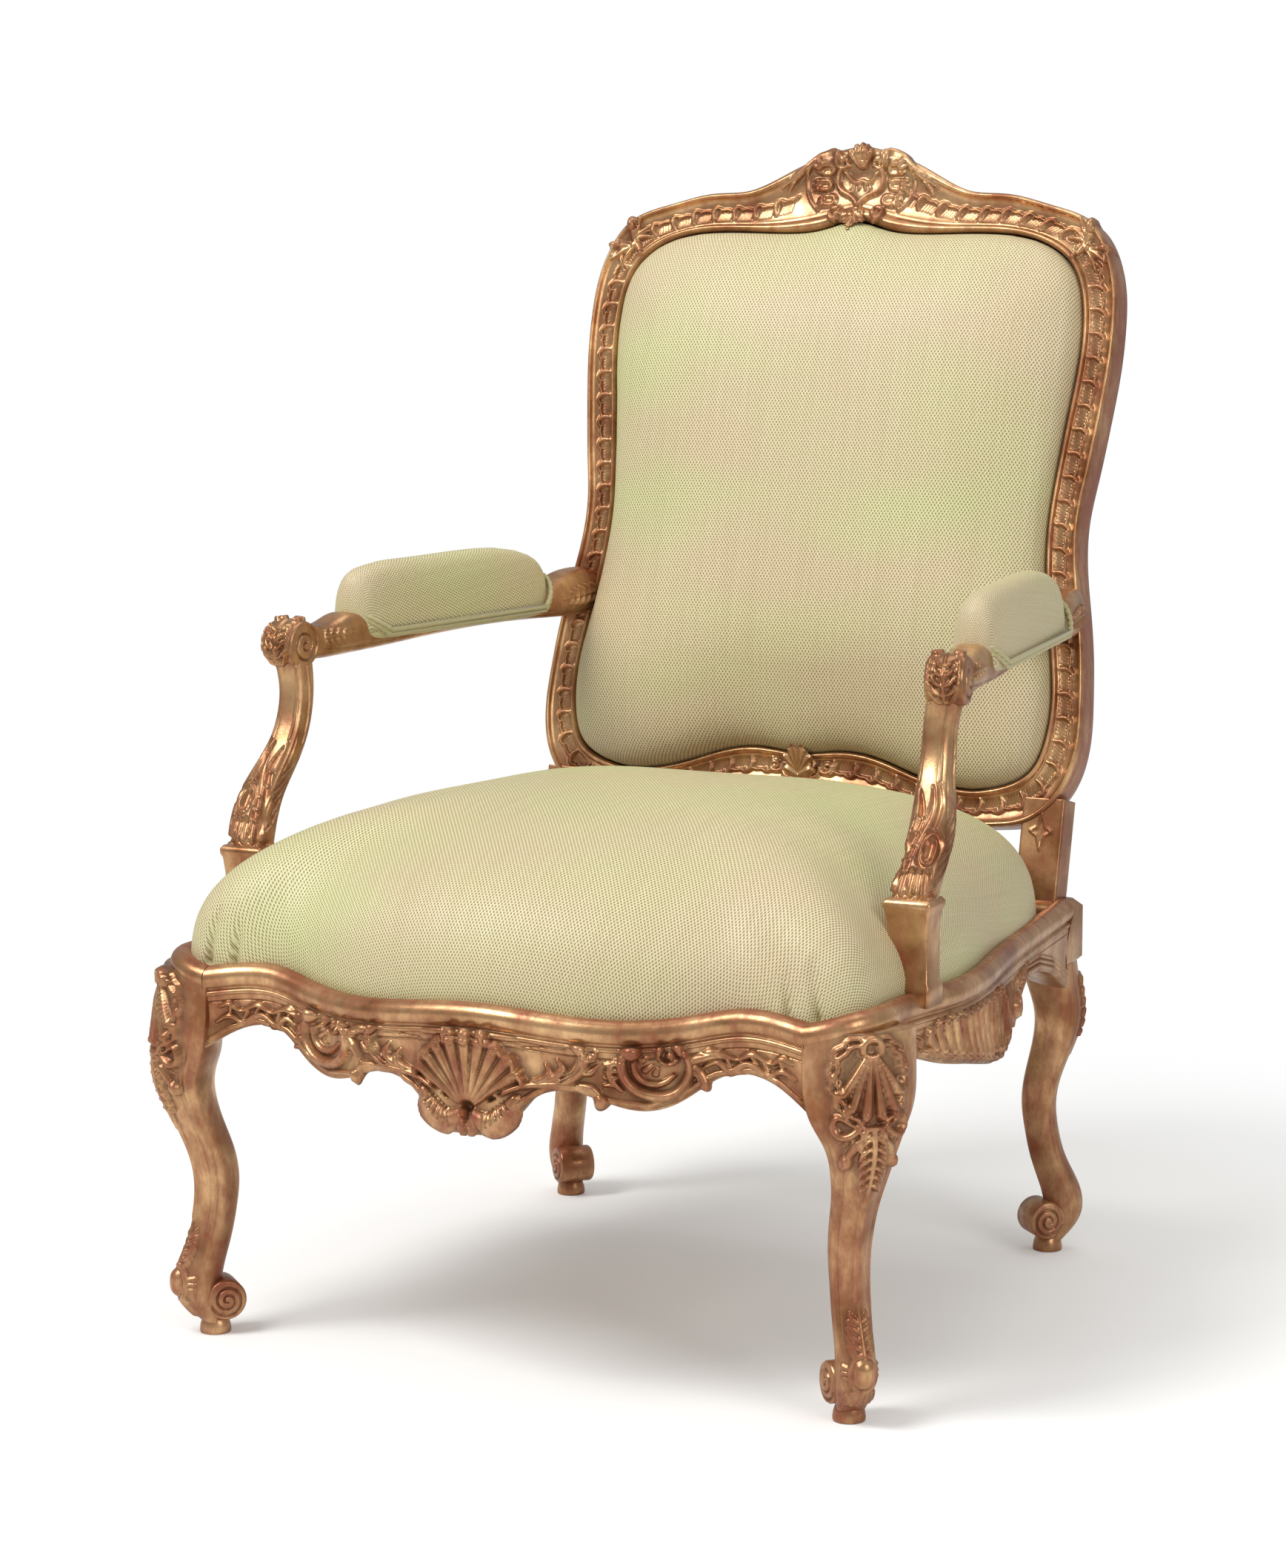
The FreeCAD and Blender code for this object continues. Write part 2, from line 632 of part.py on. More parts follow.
# Arm: swept outwards from the stile, dropping to a scroll over the support.
# Each row is distance forward, middle, half width, underside, top.
ARM = (
    (330, 256.3, 17.5, 588, 635),
    (285, 262.6, 18, 589, 632),
    (252, 267.3, 18.5, 590, 617),
    (215, 272.5, 19, 591.5, 616),
    (120, 285.8, 20, 592, 616),
    (20, 299.9, 20, 588, 614),
    (-48, 309.5, 18, 584.5, 616.5),
    (-64, 311.7, 17.5, 584, 621),
    (-88, 315.1, 16.5, 583, 615),
    (-126, 320.4, 16, 583, 619),
)
sections = []
for y, x, half, low, high in ARM:
    mid, rise = at(x, y, (low + high) / 2), Vector(0, 0, (high - low) / 2)
    sections.append(superellipse(mid, RIGHT_WAY * half, rise, 3.2))
arm_shaft = solid("arm_shaft", Part.makeLoft(sections, True, False))
scroll_way = Vector(math.cos(math.radians(9)), math.sin(math.radians(9)), 0)
scroll = add("Part::Cylinder", "arm_scroll", Radius="dims.scroll_radius", Height="dims.arm_width - 2")
scroll.Placement = Placement(at(321.5, -131, 599) - scroll_way * (dim("arm_width") / 2 - 1),
                             Rotation(Vector(0, 0, 1), scroll_way))
scroll_eye = add("Part::Cylinder", "arm_scroll_eye", Radius="dims.scroll_radius - 10", Height="dims.arm_width + 4")
scroll_eye.Placement = Placement(at(321.5, -131, 599) - scroll_way * (dim("arm_width") / 2 + 2),
                                 Rotation(Vector(0, 0, 1), scroll_way))
arm_blank = fuse("arm_blank", [arm_shaft, scroll, scroll_eye, arm_tenon])
behind = back_zone("behind_frame", 200, 320, 480, 760)
behind.Height = 100
behind.Placement = BACK * Placement(Vector(200, 480 / math.cos(RAKE), -100), Rotation())
behind_open = cut("behind_open", behind, [arm_tenon])
arm_body = cut("arm_body", arm_blank, [behind_open, support_head])

# Arm support: leans forward and down from the neck of the scroll to a square plinth.
# Each row is height, middle of depth, half depth, middle of width, half width.
SUPPORT = (
    (dim("plinth_top"), -205, 16, 321.7, 20),
    (445, -196, 17.5, 323.5, 20),
    (467, -180, 18.5, 325, 19),
    (488, -163, 18, 322, 17.5),
    (513, -146, 16, 317, 15),
    (538, -136, 14.5, 315, 14),
    (562, -132, 14.5, 315.5, 14),
    (584, -131, 16, 319, 15),
)
sections = []
for z, y, half_depth, x, half in SUPPORT:
    sections.append(superellipse(at(x, y, z), RIGHT_WAY * half, Vector(0, half_depth, 0), 3.0))
console = solid("console", Part.makeLoft(sections, True, False))
half_w, half_d = dim("plinth_width") / 2, dim("plinth_depth") / 2
sections = []
for z, shrink in ((335, 0), (375, 2.5), (410, 2), (dim("plinth_top"), 0)):
    corners = [at(322 + sx * (half_w - shrink), -205 + sy * (half_d - shrink), z)
               for sx, sy in ((-1, -1), (1, -1), (1, 1), (-1, 1))]
    sections.append(Part.makePolygon(corners + corners[:1]))
plinth = solid("plinth", Part.makeLoft(sections, True, True))
support_solid = fuse("arm_support_solid", [console, plinth, support_foot])
support_body = cut("arm_support_body", support_solid, [arm_blank])
support_right = fuse("arm_support", [support_body, support_head])

# Pegs that lock the joints, driven from the hidden faces.
seat_pegs = []
for i, (start_point, way, length) in enumerate((
    (at(front_joint + 12, -337, 292), Vector(0, 1, 0), 24),
    (at(307, side_front - 12, 286), Vector(1, 0, 0), 24),
    (at(265, side_rear + 12, 322), Vector(1, 0, 0), 24),
    (at(rear_half + 12, 250, 318), Vector(0, 1, 0), 24),
)):
    seat_pegs.append(peg(f"seat_peg{i}", start_point, way, length))
back_way = BACK.Rotation.multVec(Vector(0, 0, 1))
back_pegs = [
    peg("back_peg0", on_back(255, crest_joint - 11, -24), back_way, 16),
    peg("back_peg1", on_back(lower_joint + 11, 434, -24), back_way, 16),
]
arm_pegs = [
    peg("arm_peg0", at(248, 334, 610), Vector(1, 0, 0), 18),
    peg("arm_peg1", at(312, -131, 596), Vector(1, 0, 0), 18),
]
front_leg_right = cut("front_leg", front_leg_body,
                      [well, front_tenon, side_tenon_front, seat_pegs[0], seat_pegs[1]])
pair("front_leg", front_leg_right)
rear_leg_right = cut("rear_leg", rear_leg_solid,
                     [well, rear_side, rear_inner, side_tenon_rear, rear_tenon, crest_tenon, lower_tenon,
                      arm_tenon, seat_pegs[2], seat_pegs[3], back_pegs[0], back_pegs[1], arm_pegs[0]])
pair("rear_leg", rear_leg_right)
pair("arm", cut("arm", arm_body, arm_pegs))
pair("arm_support", cut("arm_support_pegged", support_right, [arm_pegs[1]]))



def four_ways(name, pieces):
    """Right-hand pieces and their mirror images as one group of separate solids."""
    left = [mirrored(f"{name}_left{i}", piece) for i, piece in enumerate(pieces)]
    return node(name, group(name, pieces + left))


four_ways("seat_joint_pegs", seat_pegs)
four_ways("back_joint_pegs", back_pegs)
four_ways("arm_joint_pegs", arm_pegs)

# Corner braces under the ledge, each held by two screws into the rails.
BRACE_TOP = dim("ledge_height")
leg_size = dim("brace_leg")
braces, screws = [], []
for name, corner, sx, sy in (("front", (288, -299), -1, 1), ("rear", (231, 236), -1, -1)):
    ends = [(0, 0), (sx * leg_size, 0), (0, sy * leg_size)]
    brace = sketched_body(f"{name}_brace", "XY_Plane", polygon(ends), "dims.brace_height")
    brace.Placement = Placement(at(*corner, BRACE_TOP - dim("brace_height")), Rotation())
    bores = []
    for i, (dx, dy, way) in enumerate(((34, 14, Vector(0, -sy, 0)), (14, 34, Vector(-sx, 0, 0)))):
        spot = at(corner[0] + sx * dx, corner[1] + sy * dy, BRACE_TOP - dim("brace_height") / 2)
        shank = add("Part::Cylinder", f"{name}_shank{i}", Radius="dims.screw_radius")
        shank.Height = 32
        shank.Placement = Placement(spot, Rotation(Vector(0, 0, 1), way))
        head = add("Part::Cylinder", f"{name}_head{i}", Radius="dims.screw_head")
        head.Height = 6
        head.Placement = Placement(spot - way * 4, Rotation(Vector(0, 0, 1), way))
        bores.append(fuse(f"{name}_screw{i}", [shank, head]))
    braces.append(cut(f"{name}_brace_bored", brace, bores))
    screws += bores
four_ways("corner_braces", braces)
four_ways("brace_screws", screws)


def strips(name, role, count, length, start_z):
    """Parallel straps of webbing, repeated at the sheet's pitch."""
    half = dim("web_width") / 2
    first = -dim("web_pitch") * (count - 1) / 2
    long_way = role == "y"
    low, high = length
    corners = [(first - half, low), (first + half, low), (first + half, high), (first - half, high)]
    edges = polygon(corners if long_way else [(b, a) for a, b in corners])
    body = sketched_body(name + "_straps", "XY_Plane", edges, "dims.web_thickness")
    pattern = body.newObject("PartDesign::LinearPattern", name + "_pattern")
    pattern.Originals = [body.Tip]
    axis = "X_Axis" if long_way else "Y_Axis"
    pattern.Direction = (plane_of(body, axis), [""])
    pattern.Occurrences = count
    pattern.setExpression("Length", f"dims.web_pitch * {count - 1}")
    body.Tip = pattern
    return body


# Seat: two layers of webbing on the ledge, hessian, stuffing and the cover.
web, cover = dim("web_thickness"), dim("cover_thickness")
ledge = dim("ledge_height")
seat_room = solid("seat_room", loop_prism(seat_loop(ledge - 5, 0.985), Vector(0, 0, 60)))
for name, role, count, reach, z in (
    ("seat_webbing_lengthwise", "y", 7, (-400, 300), ledge),
    ("seat_webbing_crosswise", "x", 7, (-360, 360), ledge + web),
):
    straps = strips(name, role, count, reach, z)
    straps.Placement = Placement(at(0, 0 if role == "y" else -60, z), Rotation())
    node(name, common(name, straps, seat_room))
hessian_z = ledge + 2 * web
hessian = dim("hessian_thickness")
node("seat_hessian", solid("seat_hessian", loop_prism(seat_loop(hessian_z, 0.985), Vector(0, 0, hessian))))


# Each row is the share of the crown's rise and the share of the seat's plan at that height.
SEAT_SHAPE = ((0.0, 0.994), (0.2, 0.994), (0.42, 0.975), (0.6, 0.925), (0.77, 0.82), (0.91, 0.62), (0.985, 0.34))


def seat_dome(foot_z, inset):
    """The crowned seat above a height, with its surface drawn in by inset."""
    rise = dim("seat_crown") - inset - foot_z
    shrink = inset / 330
    master = seat_loop(0)
    rings = [section(seat_loop(foot_z + rise * h, k - shrink), master) for h, k in SEAT_SHAPE]
    return Part.makeLoft(rings, True, False)


seat_foot = hessian_z + hessian
notch = block("support_notch", at(299, -225, 300), at(420, -150, 520))
notch_left = mirrored("support_notch_left", notch)
post_notch = block("post_notch", at(226, 253, 300), at(330, 330, 520))
post_notch_left = mirrored("post_notch_left", post_notch)
notches = [notch, notch_left, post_notch, post_notch_left]
seat_inside = solid("seat_inside", seat_dome(seat_foot, cover))
seat_outside = solid("seat_outside", seat_dome(seat_foot, 0.0))
node("seat_stuffing", cut("seat_stuffing", seat_inside, notches))
node("seat_cover", cut("seat_cover", seat_outside, [seat_inside] + notches))

# Back: webbing and hessian in the rear rebate, stuffing and cover in front, cloth behind.
rebate_w = dim("rebate_depth") - depth
back_room = solid("back_room", back_slab(BACK_INNER, dim("rebate_width") - 1, rebate_w, 20))
for name, role, count, reach, w in (
    ("back_webbing_upright", "y", 5, (350, 1150), rebate_w - web),
    ("back_webbing_crosswise", "x", 6, (-320, 320), rebate_w - 2 * web),
):
    straps = strips(name, role, count, reach, 0)
    straps.Placement = BACK * Placement(Vector(0, 0 if role == "y" else 735, w), Rotation())
    node(name, common(name, straps, back_room))
node("back_hessian", solid("back_hessian", back_slab(BACK_INNER, -0.6, rebate_w + hessian, hessian)))
outer_cloth = back_slab(BACK_INNER, dim("rebate_width") - 0.6, -depth + 3.5, cover)
node("outside_back_cloth", solid("outside_back_cloth", outer_cloth))

BACK_SHAPE = ((0.0, 1.0), (0.3, 1.0), (0.5, 0.985), (0.7, 0.93), (0.85, 0.80), (0.95, 0.58), (0.99, 0.34))


def back_dome(low_w, inset):
    """The crowned back pad in front of a depth, with its surface drawn in by inset."""
    rise = dim("back_crown") - inset - low_w
    rings = []
    for h, k in BACK_SHAPE:
        rings.append(section(back_loop(BACK_INNER, -0.8 - inset, low_w + rise * h, k), back_loop(BACK_INNER)))
    return Part.makeLoft(rings, True, False)


back_foot = rebate_w + hessian
back_inside = solid("back_inside", back_dome(back_foot, cover))
back_outside = solid("back_outside", back_dome(back_foot, 0.0))
node("back_stuffing", back_inside)
node("back_cover", cut("back_cover", back_outside, [back_inside]))

# Arm pads: domed stuffing over the arm, its cover, and a double welt along the lower edge.
# Each row is distance forward, share of the width, and top of the pad.
PAD = ((-48, 0.4, 634), (-42, 0.66, 649), (-22, 0.92, 660), (20, 1.0, 665), (100, 1.0, 667),
       (180, 0.98, 665), (226, 0.88, 656), (244, 0.64, 645), (250, 0.4, 635))


ARM_SPLAY = 0.1406


def arm_middle(y):
    return 258 + (318 - y) * ARM_SPLAY


def pad_dome(inset):
    half, low = dim("pad_half_width"), dim("pad_foot")
    sections = []
    for y, share, top in PAD:
        middle, reach = arm_middle(y), half * share - inset
        foot = low + 14 * (1 - share)
        rise = top - inset - foot
        y += inset if y < 0 else -inset
        points = []
        for i in range(12):
            c, s = math.cos(math.pi * i / 6), math.sin(math.pi * i / 6)
            height = rise * s if s > 0 else 0.5 * rise * s
            points.append(at(middle + reach * math.copysign(abs(c) ** 0.7, c), y, foot + height))
        master = [Vector(math.cos(math.pi * i / 6), math.sin(math.pi * i / 6), 0) for i in range(12)]
        sections.append(section(points, master))
    return Part.makeLoft(sections, True, False)


# The pad straddles the arm, so it ends flat at its foot and a straight channel for the arm is left open.
channel = add("Part::Box", "arm_channel", Length="dims.channel_width")
channel.Width, channel.Height = 400, 120
channel_turn = Rotation(Vector(0, 0, 1), math.degrees(math.atan(ARM_SPLAY)))
channel_corner = Vector(-dim("channel_width") / 2, -200, dim("channel_top") - 120)
channel.Placement = Placement(at(arm_middle(100), 100), channel_turn) * Placement(channel_corner, Rotation())
below_pad = block("below_pad", at(150, -150, 450), at(400, 350, dim("pad_foot")))
arm_room = fuse("arm_room", [channel, below_pad])
pad_inside = solid("pad_inside", pad_dome(cover))
pad_outside = solid("pad_outside", pad_dome(0.0))
pair("arm_pad_stuffing", cut("arm_pad_stuffing", pad_inside, [arm_room]))
pad_skin = cut("pad_skin", pad_outside, [pad_inside])
pair("arm_pad_cover", cut("arm_pad_cover", pad_skin, [arm_room]))


def welt_cord(name, out, drop):
    """One cord of the welt: a stadium of two straight runs and two half rings."""
    bend, cord = dim("pad_half_width") + out, dim("welt_radius")
    ends = [at(arm_middle(y), y, dim("pad_foot") - drop) for y in (-48 + bend, 250 - bend)]
    run = (ends[1] - ends[0]).normalize()
    aside = Vector(run.y, -run.x, 0)
    length = (ends[1] - ends[0]).Length
    heading = math.degrees(math.atan2(run.y, run.x))
    pieces = [Part.makeCylinder(cord, length, ends[0] + aside * (side * bend), run) for side in (-1, 1)]
    for end, turn in ((ends[0], heading + 90), (ends[1], heading - 90)):
        half_ring = Part.makeTorus(bend, cord, Vector(), Vector(0, 0, 1), -180, 180, 180)
        half_ring.Placement = Placement(end, Rotation(Vector(0, 0, 1), turn))
        pieces.append(half_ring)
    return solid(name, pieces[0].multiFuse(pieces[1:]).removeSplitter())


gap = dim("welt_radius")
cords = [welt_cord("upper_welt", gap + 0.4, -gap), welt_cord("lower_welt", gap - 0.6, gap + 0.3)]
pair("arm_welt", group("arm_welt", cords))

doc.recompute()
failed = [obj.Name for obj in doc.Objects if {"Invalid", "Error"} & set(obj.State)]
failed += [name for name, obj in nodes.items() if obj.Shape.isNull() or not obj.Shape.isValid()]
if failed:
    raise RuntimeError("failed: " + ", ".join(failed))
for name, obj in nodes.items():
    obj.Shape.exportStep(f"parts/{name}.step")
    print(name, len(obj.Shape.Solids), "solids", round(obj.Shape.Volume / 1000, 1), "cm3")
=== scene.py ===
import math

import bpy
import numpy as np
from mathutils import Matrix, Vector


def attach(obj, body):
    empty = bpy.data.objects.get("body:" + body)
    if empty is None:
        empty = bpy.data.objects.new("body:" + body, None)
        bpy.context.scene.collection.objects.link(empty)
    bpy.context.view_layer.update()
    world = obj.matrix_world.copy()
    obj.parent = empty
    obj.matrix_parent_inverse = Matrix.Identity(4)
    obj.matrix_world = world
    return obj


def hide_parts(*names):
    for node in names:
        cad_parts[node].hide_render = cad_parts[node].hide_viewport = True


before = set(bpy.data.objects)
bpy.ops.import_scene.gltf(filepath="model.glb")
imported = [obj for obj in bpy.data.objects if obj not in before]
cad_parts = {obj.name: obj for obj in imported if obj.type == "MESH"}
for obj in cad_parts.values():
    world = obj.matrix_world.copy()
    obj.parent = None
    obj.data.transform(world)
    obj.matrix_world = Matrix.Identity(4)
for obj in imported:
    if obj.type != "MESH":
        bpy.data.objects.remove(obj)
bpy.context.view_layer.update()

# Front seat rail: beech, serpentine in plan, carved out of the solid and water-gilded.
# A rounded lip holds the cushion edge, then a bead and a hollow fascia run down to a cut apron
# with a shell at its middle. It is tenoned into the front legs.


def linear(code):
    """A hex colour as linear red, green, blue and alpha."""
    parts = [int(code[i:i + 2], 16) / 255 for i in (1, 3, 5)]
    return [c / 12.92 if c <= 0.04045 else ((c + 0.055) / 1.055) ** 2.4 for c in parts] + [1.0]


def add_node(material, kind, inputs, **settings):
    """Adds a node to a material with its settings; an input is a value or the socket that feeds it."""
    tree = material.node_tree
    node = tree.nodes.new("ShaderNode" + kind)
    for name, value in settings.items():
        setattr(node, name, value)
    for socket, value in inputs.items():
        if isinstance(value, bpy.types.NodeSocket):
            tree.links.new(value, node.inputs[socket])
        else:
            node.inputs[socket].default_value = value
    return node


def new_material(name):
    """A node material with nothing in it yet."""
    material = bpy.data.materials.new(name)
    material.use_nodes = True
    material.node_tree.nodes.clear()
    return material


def spline(knots, values, wanted):
    """Values between the rows of a table, on a natural cubic spline."""
    t, p = np.asarray(knots, float), np.asarray(values, float)
    gaps, count = np.diff(t), len(t)
    system, right = np.eye(count), np.zeros_like(p)
    for i in range(1, count - 1):
        system[i, i - 1:i + 2] = gaps[i - 1], 2 * (gaps[i - 1] + gaps[i]), gaps[i]
        right[i] = 6 * ((p[i + 1] - p[i]) / gaps[i] - (p[i] - p[i - 1]) / gaps[i - 1])
    bend = np.linalg.solve(system, right)
    w = np.clip(np.asarray(wanted, float), t[0], t[-1])
    i = np.clip(np.searchsorted(t, w) - 1, 0, count - 2)
    gap = gaps[i]
    a, b = (t[i + 1] - w) / gap, (w - t[i]) / gap
    if p.ndim > 1:
        a, b, gap = a[:, None], b[:, None], gap[:, None]
    curve = ((a ** 3 - a) * bend[i] + (b ** 3 - b) * bend[i + 1]) * gap ** 2 / 6
    return a * p[i] + b * p[i + 1] + curve


def smooth_line(points, count):
    """A given number of points on a smooth line through a few."""
    p = np.asarray(points, float)
    if len(p) < 3:
        share = np.linspace(0, 1, count)[:, None]
        return p[0] + (p[-1] - p[0]) * share
    chords = np.concatenate([[0], np.cumsum(np.linalg.norm(np.diff(p, axis=0), axis=1))])
    return spline(chords, p, np.linspace(0, chords[-1], count))


def relief(u, v, strokes, bold=1.0):
    """Height in mm of carving on a surface laid flat; a stroke is a line, its half width and its height."""
    up, down = np.zeros(u.shape), np.zeros(u.shape)
    for points, half, high in strokes:
        line = smooth_line(points, 2 if len(points) == 2 else 4 * len(points))
        share = np.linspace(0, 1, len(line))
        half = np.interp(share, np.linspace(0, 1, np.size(half)), np.atleast_1d(half))
        high = np.interp(share, np.linspace(0, 1, np.size(high)), np.atleast_1d(high))
        half = half * np.where(high > 0, bold, 1.0)
        low, top, reach = line.min(0), line.max(0), half.max()
        near = (u > low[0] - reach) & (u < top[0] + reach) & (v > low[1] - reach) & (v < top[1] + reach)
        if not near.any():
            continue
        pu, pv = u[near], v[near]
        best, lift = np.full(pu.shape, 9.0), np.zeros(pu.shape)
        for i in range(len(line) - 1):
            du, dv = line[i + 1] - line[i]
            t = np.clip(((pu - line[i, 0]) * du + (pv - line[i, 1]) * dv) / (du * du + dv * dv + 1e-9), 0, 1)
            away = np.hypot(pu - line[i, 0] - t * du, pv - line[i, 1] - t * dv)
            away /= half[i] + t * (half[i + 1] - half[i])
            closer = away < best
            best[closer] = away[closer]
            lift[closer] = (high[i] + t * (high[i + 1] - high[i]))[closer]
        rise = lift * np.clip(1 - best ** 2, 0, 1) ** 0.7
        up[near] = np.maximum(up[near], rise)
        down[near] = np.minimum(down[near], rise)
    return up + down


def blurred(height, reach, around):
    """A height field averaged over a square of cells, twice."""
    for _ in range(2):
        for axis in (0, 1):
            mode = "wrap" if around and axis == 1 else "edge"
            pad = [(reach + 1, reach) if k == axis else (0, 0) for k in (0, 1)]
            total = np.cumsum(np.pad(height, pad, mode=mode), axis=axis)
            size = height.shape[axis]
            high = np.take(total, np.arange(2 * reach + 1, 2 * reach + 1 + size), axis=axis)
            height = (high - np.take(total, np.arange(size), axis=axis)) / (2 * reach + 1)
    return height


def skin(grid, height=None, around=False, caps=False, flip=False, rubbed=None):
    """A surface over rows of points in mm, raised by its carving; it notes its hollows and rubbed places."""
    rows, cols = grid.shape[:2]
    height = np.zeros((rows, cols)) if height is None else height
    if around:
        across = np.roll(grid, -1, axis=1) - np.roll(grid, 1, axis=1)
    else:
        across = np.gradient(grid, axis=1)
    normal = np.cross(across, np.gradient(grid, axis=0))
    normal /= np.linalg.norm(normal, axis=2, keepdims=True) + 1e-9
    if flip:
        normal = -normal
    points = (grid + normal * height[:, :, None]).reshape(-1, 3)
    # The hollows found here are darkened later as painted shade, and the raised places wear to the clay.
    spread = height - blurred(height, 4, around)
    deep, worn = np.clip(-spread / 2.2, 0, 1).ravel(), np.clip(spread / 2.2, 0, 1).ravel()
    if rubbed is not None:
        worn = np.maximum(worn, np.broadcast_to(rubbed, (rows, cols)).ravel())
    index = np.arange(rows * cols).reshape(rows, cols)
    right = np.roll(index, -1, axis=1) if around else index[:, 1:]
    left = index if around else index[:, :-1]
    quads = np.stack([left[:-1], right[:-1], right[1:], left[1:]], axis=-1).reshape(-1, 4)
    faces = (quads[:, ::-1] if flip else quads).tolist()
    if caps:
        for row, turn in ((0, 1), (rows - 1, -1)):
            centre = len(points)
            points = np.vstack([points, points[index[row]].mean(0)])
            deep, worn = np.append(deep, 0), np.append(worn, 0)
            ring = index[row].tolist()
            for a, b in zip(ring, ring[1:] + ring[:1]):
                tri = [centre, b, a] if turn > 0 else [centre, a, b]
                faces.append(tri[::-1] if flip else tri)
    return points, faces, deep, worn


def mirrored(parts):
    """The same surfaces on the other side of the chair."""
    return [(p * (-1, 1, 1), [f[::-1] for f in faces], deep, worn) for p, faces, deep, worn in parts]


PLAN_SHIFT = (0, -34.06, 0)


def piece(name, parts, material, *nodes):
    """One object from several surfaces, riding on the frame in place of its CAD nodes."""
    points, faces, deep, worn, start = [], [], [], [], 0
    for p, f, d, w in parts:
        points.append((p + PLAN_SHIFT) / 1000)
        faces += [[i + start for i in face] for face in f]
        deep.append(d)
        worn.append(w)
        start += len(p)
    mesh = bpy.data.meshes.new(name)
    mesh.from_pydata(np.vstack(points).tolist(), [], faces)
    mesh.validate()
    for label, values in (("recess", deep), ("ridge", worn)):
        layer = mesh.attributes.new(label, "FLOAT", "POINT")
        layer.data.foreach_set("value", np.concatenate(values).astype("f4"))
    mesh.shade_smooth()
    mesh.materials.append(material)
    obj = bpy.data.objects.new(name, mesh)
    bpy.context.scene.collection.objects.link(obj)
    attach(obj, "root")
    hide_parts(*nodes)


# Water gilding: gold leaf laid on red clay bole over gesso, burnished on the raised parts, later toned.
# The eye sees a soft warm metal, red where hands and dusting wore the leaf, brown in the hollows. The brown
# in the hollows is toning together with painted shade, and the extra red low on the legs is painted shade.
gilding = new_material("water_gilding_on_red_bole")
place = add_node(gilding, "TexCoord", {}).outputs["Object"]
recess = add_node(gilding, "Attribute", {}, attribute_name="recess").outputs["Fac"]
ridge = add_node(gilding, "Attribute", {}, attribute_name="ridge").outputs["Fac"]
# Patches of tone 60 mm across, worn streaks 14 mm wide and 35 mm tall, and specks of 2 mm.
tone = add_node(gilding, "TexNoise", {"Vector": place, "Scale": 1 / 0.060, "Detail": 4.0, "Roughness": 0.6})
upright = add_node(gilding, "Mapping", {"Vector": place, "Scale": (1.0, 1.0, 0.4)})
patch = add_node(
    gilding, "TexNoise", {"Vector": upright.outputs[0], "Scale": 1 / 0.014, "Detail": 6.0, "Roughness": 0.7},
)
speck = add_node(gilding, "TexNoise", {"Vector": place, "Scale": 1 / 0.002, "Detail": 3.0, "Roughness": 0.6})
leaf_tone = add_node(gilding, "MapRange", {"Value": tone.outputs["Fac"], "From Min": 0.35, "From Max": 0.65})
leaf = add_node(
    gilding, "MixRGB",
    {"Fac": leaf_tone.outputs["Result"], "Color1": linear("#DCB283"), "Color2": linear("#936340")},
)
# More clay shows towards the floor, so the legs are redder and darker low down: painted shade for the lower
# legs, which get less light.
height = add_node(gilding, "SeparateXYZ", {"Vector": place}).outputs["Z"]
low_leg_shade = add_node(
    gilding, "MapRange", {"Value": height, "From Min": 0.02, "From Max": 0.45, "To Min": 0.11, "To Max": 0.0},
)
patch_and_low_leg_shade = add_node(
    gilding, "Math", {0: patch.outputs["Fac"], 1: low_leg_shade.outputs["Result"]}, operation="ADD",
)
wear_and_low_shade_sum = add_node(
    gilding, "Math", {0: ridge, 1: 0.10, 2: patch_and_low_leg_shade.outputs[0]}, operation="MULTIPLY_ADD",
)
# Wear of the leaf down to the clay, with the painted shade of the lower legs mixed in.
wear_and_low_shade = add_node(
    gilding, "MapRange",
    {"Value": wear_and_low_shade_sum.outputs[0], "From Min": 0.45, "From Max": 0.78, "To Max": 0.85},
)
clay = add_node(
    gilding, "MixRGB",
    {"Fac": wear_and_low_shade.outputs["Result"], "Color1": leaf.outputs[0], "Color2": linear("#883E26")},
)
# Painted shade: the hollows of the carving are darkened towards deep brown, together with the toning they
# hold.
hollow_shade_and_toning = add_node(gilding, "Math", {0: recess, 1: 0.58}, operation="MULTIPLY")
toned_and_shaded = add_node(
    gilding, "MixRGB", {"Fac": hollow_shade_and_toning.outputs[0], "Color1": clay.outputs[0], "Color2": linear("#4E2C1A")},
)
dust = add_node(
    gilding, "MapRange",
    {"Value": speck.outputs["Fac"], "From Min": 0.62, "From Max": 0.75, "To Max": 0.5},
)
specked = add_node(
    gilding, "MixRGB",
    {"Fac": dust.outputs["Result"], "Color1": toned_and_shaded.outputs[0], "Color2": linear("#7A5032")},
)
# The metal is dulled where the leaf is worn and where shade is painted into the hollows.
lost_leaf_and_shade = add_node(gilding, "Math", {0: wear_and_low_shade.outputs["Result"], 1: hollow_shade_and_toning.outputs[0]}, operation="MAXIMUM")
metal = add_node(gilding, "MapRange", {"Value": lost_leaf_and_shade.outputs[0], "To Min": 0.90, "To Max": 0.15})
gloss = add_node(gilding, "MapRange", {"Value": patch.outputs["Fac"], "To Min": 0.18, "To Max": 0.44})
# Tool marks and the grain of the gesso stand about a tenth of a millimetre proud.
grain = add_node(gilding, "Bump", {"Height": speck.outputs["Fac"], "Strength": 0.25, "Distance": 0.0004})
gilt = add_node(
    gilding, "BsdfPrincipled",
    {"Base Color": specked.outputs[0], "Metallic": metal.outputs["Result"],
     "Roughness": gloss.outputs["Result"], "Normal": grain.outputs["Normal"]},
)
add_node(gilding, "OutputMaterial", {"Surface": gilt.outputs[0]})


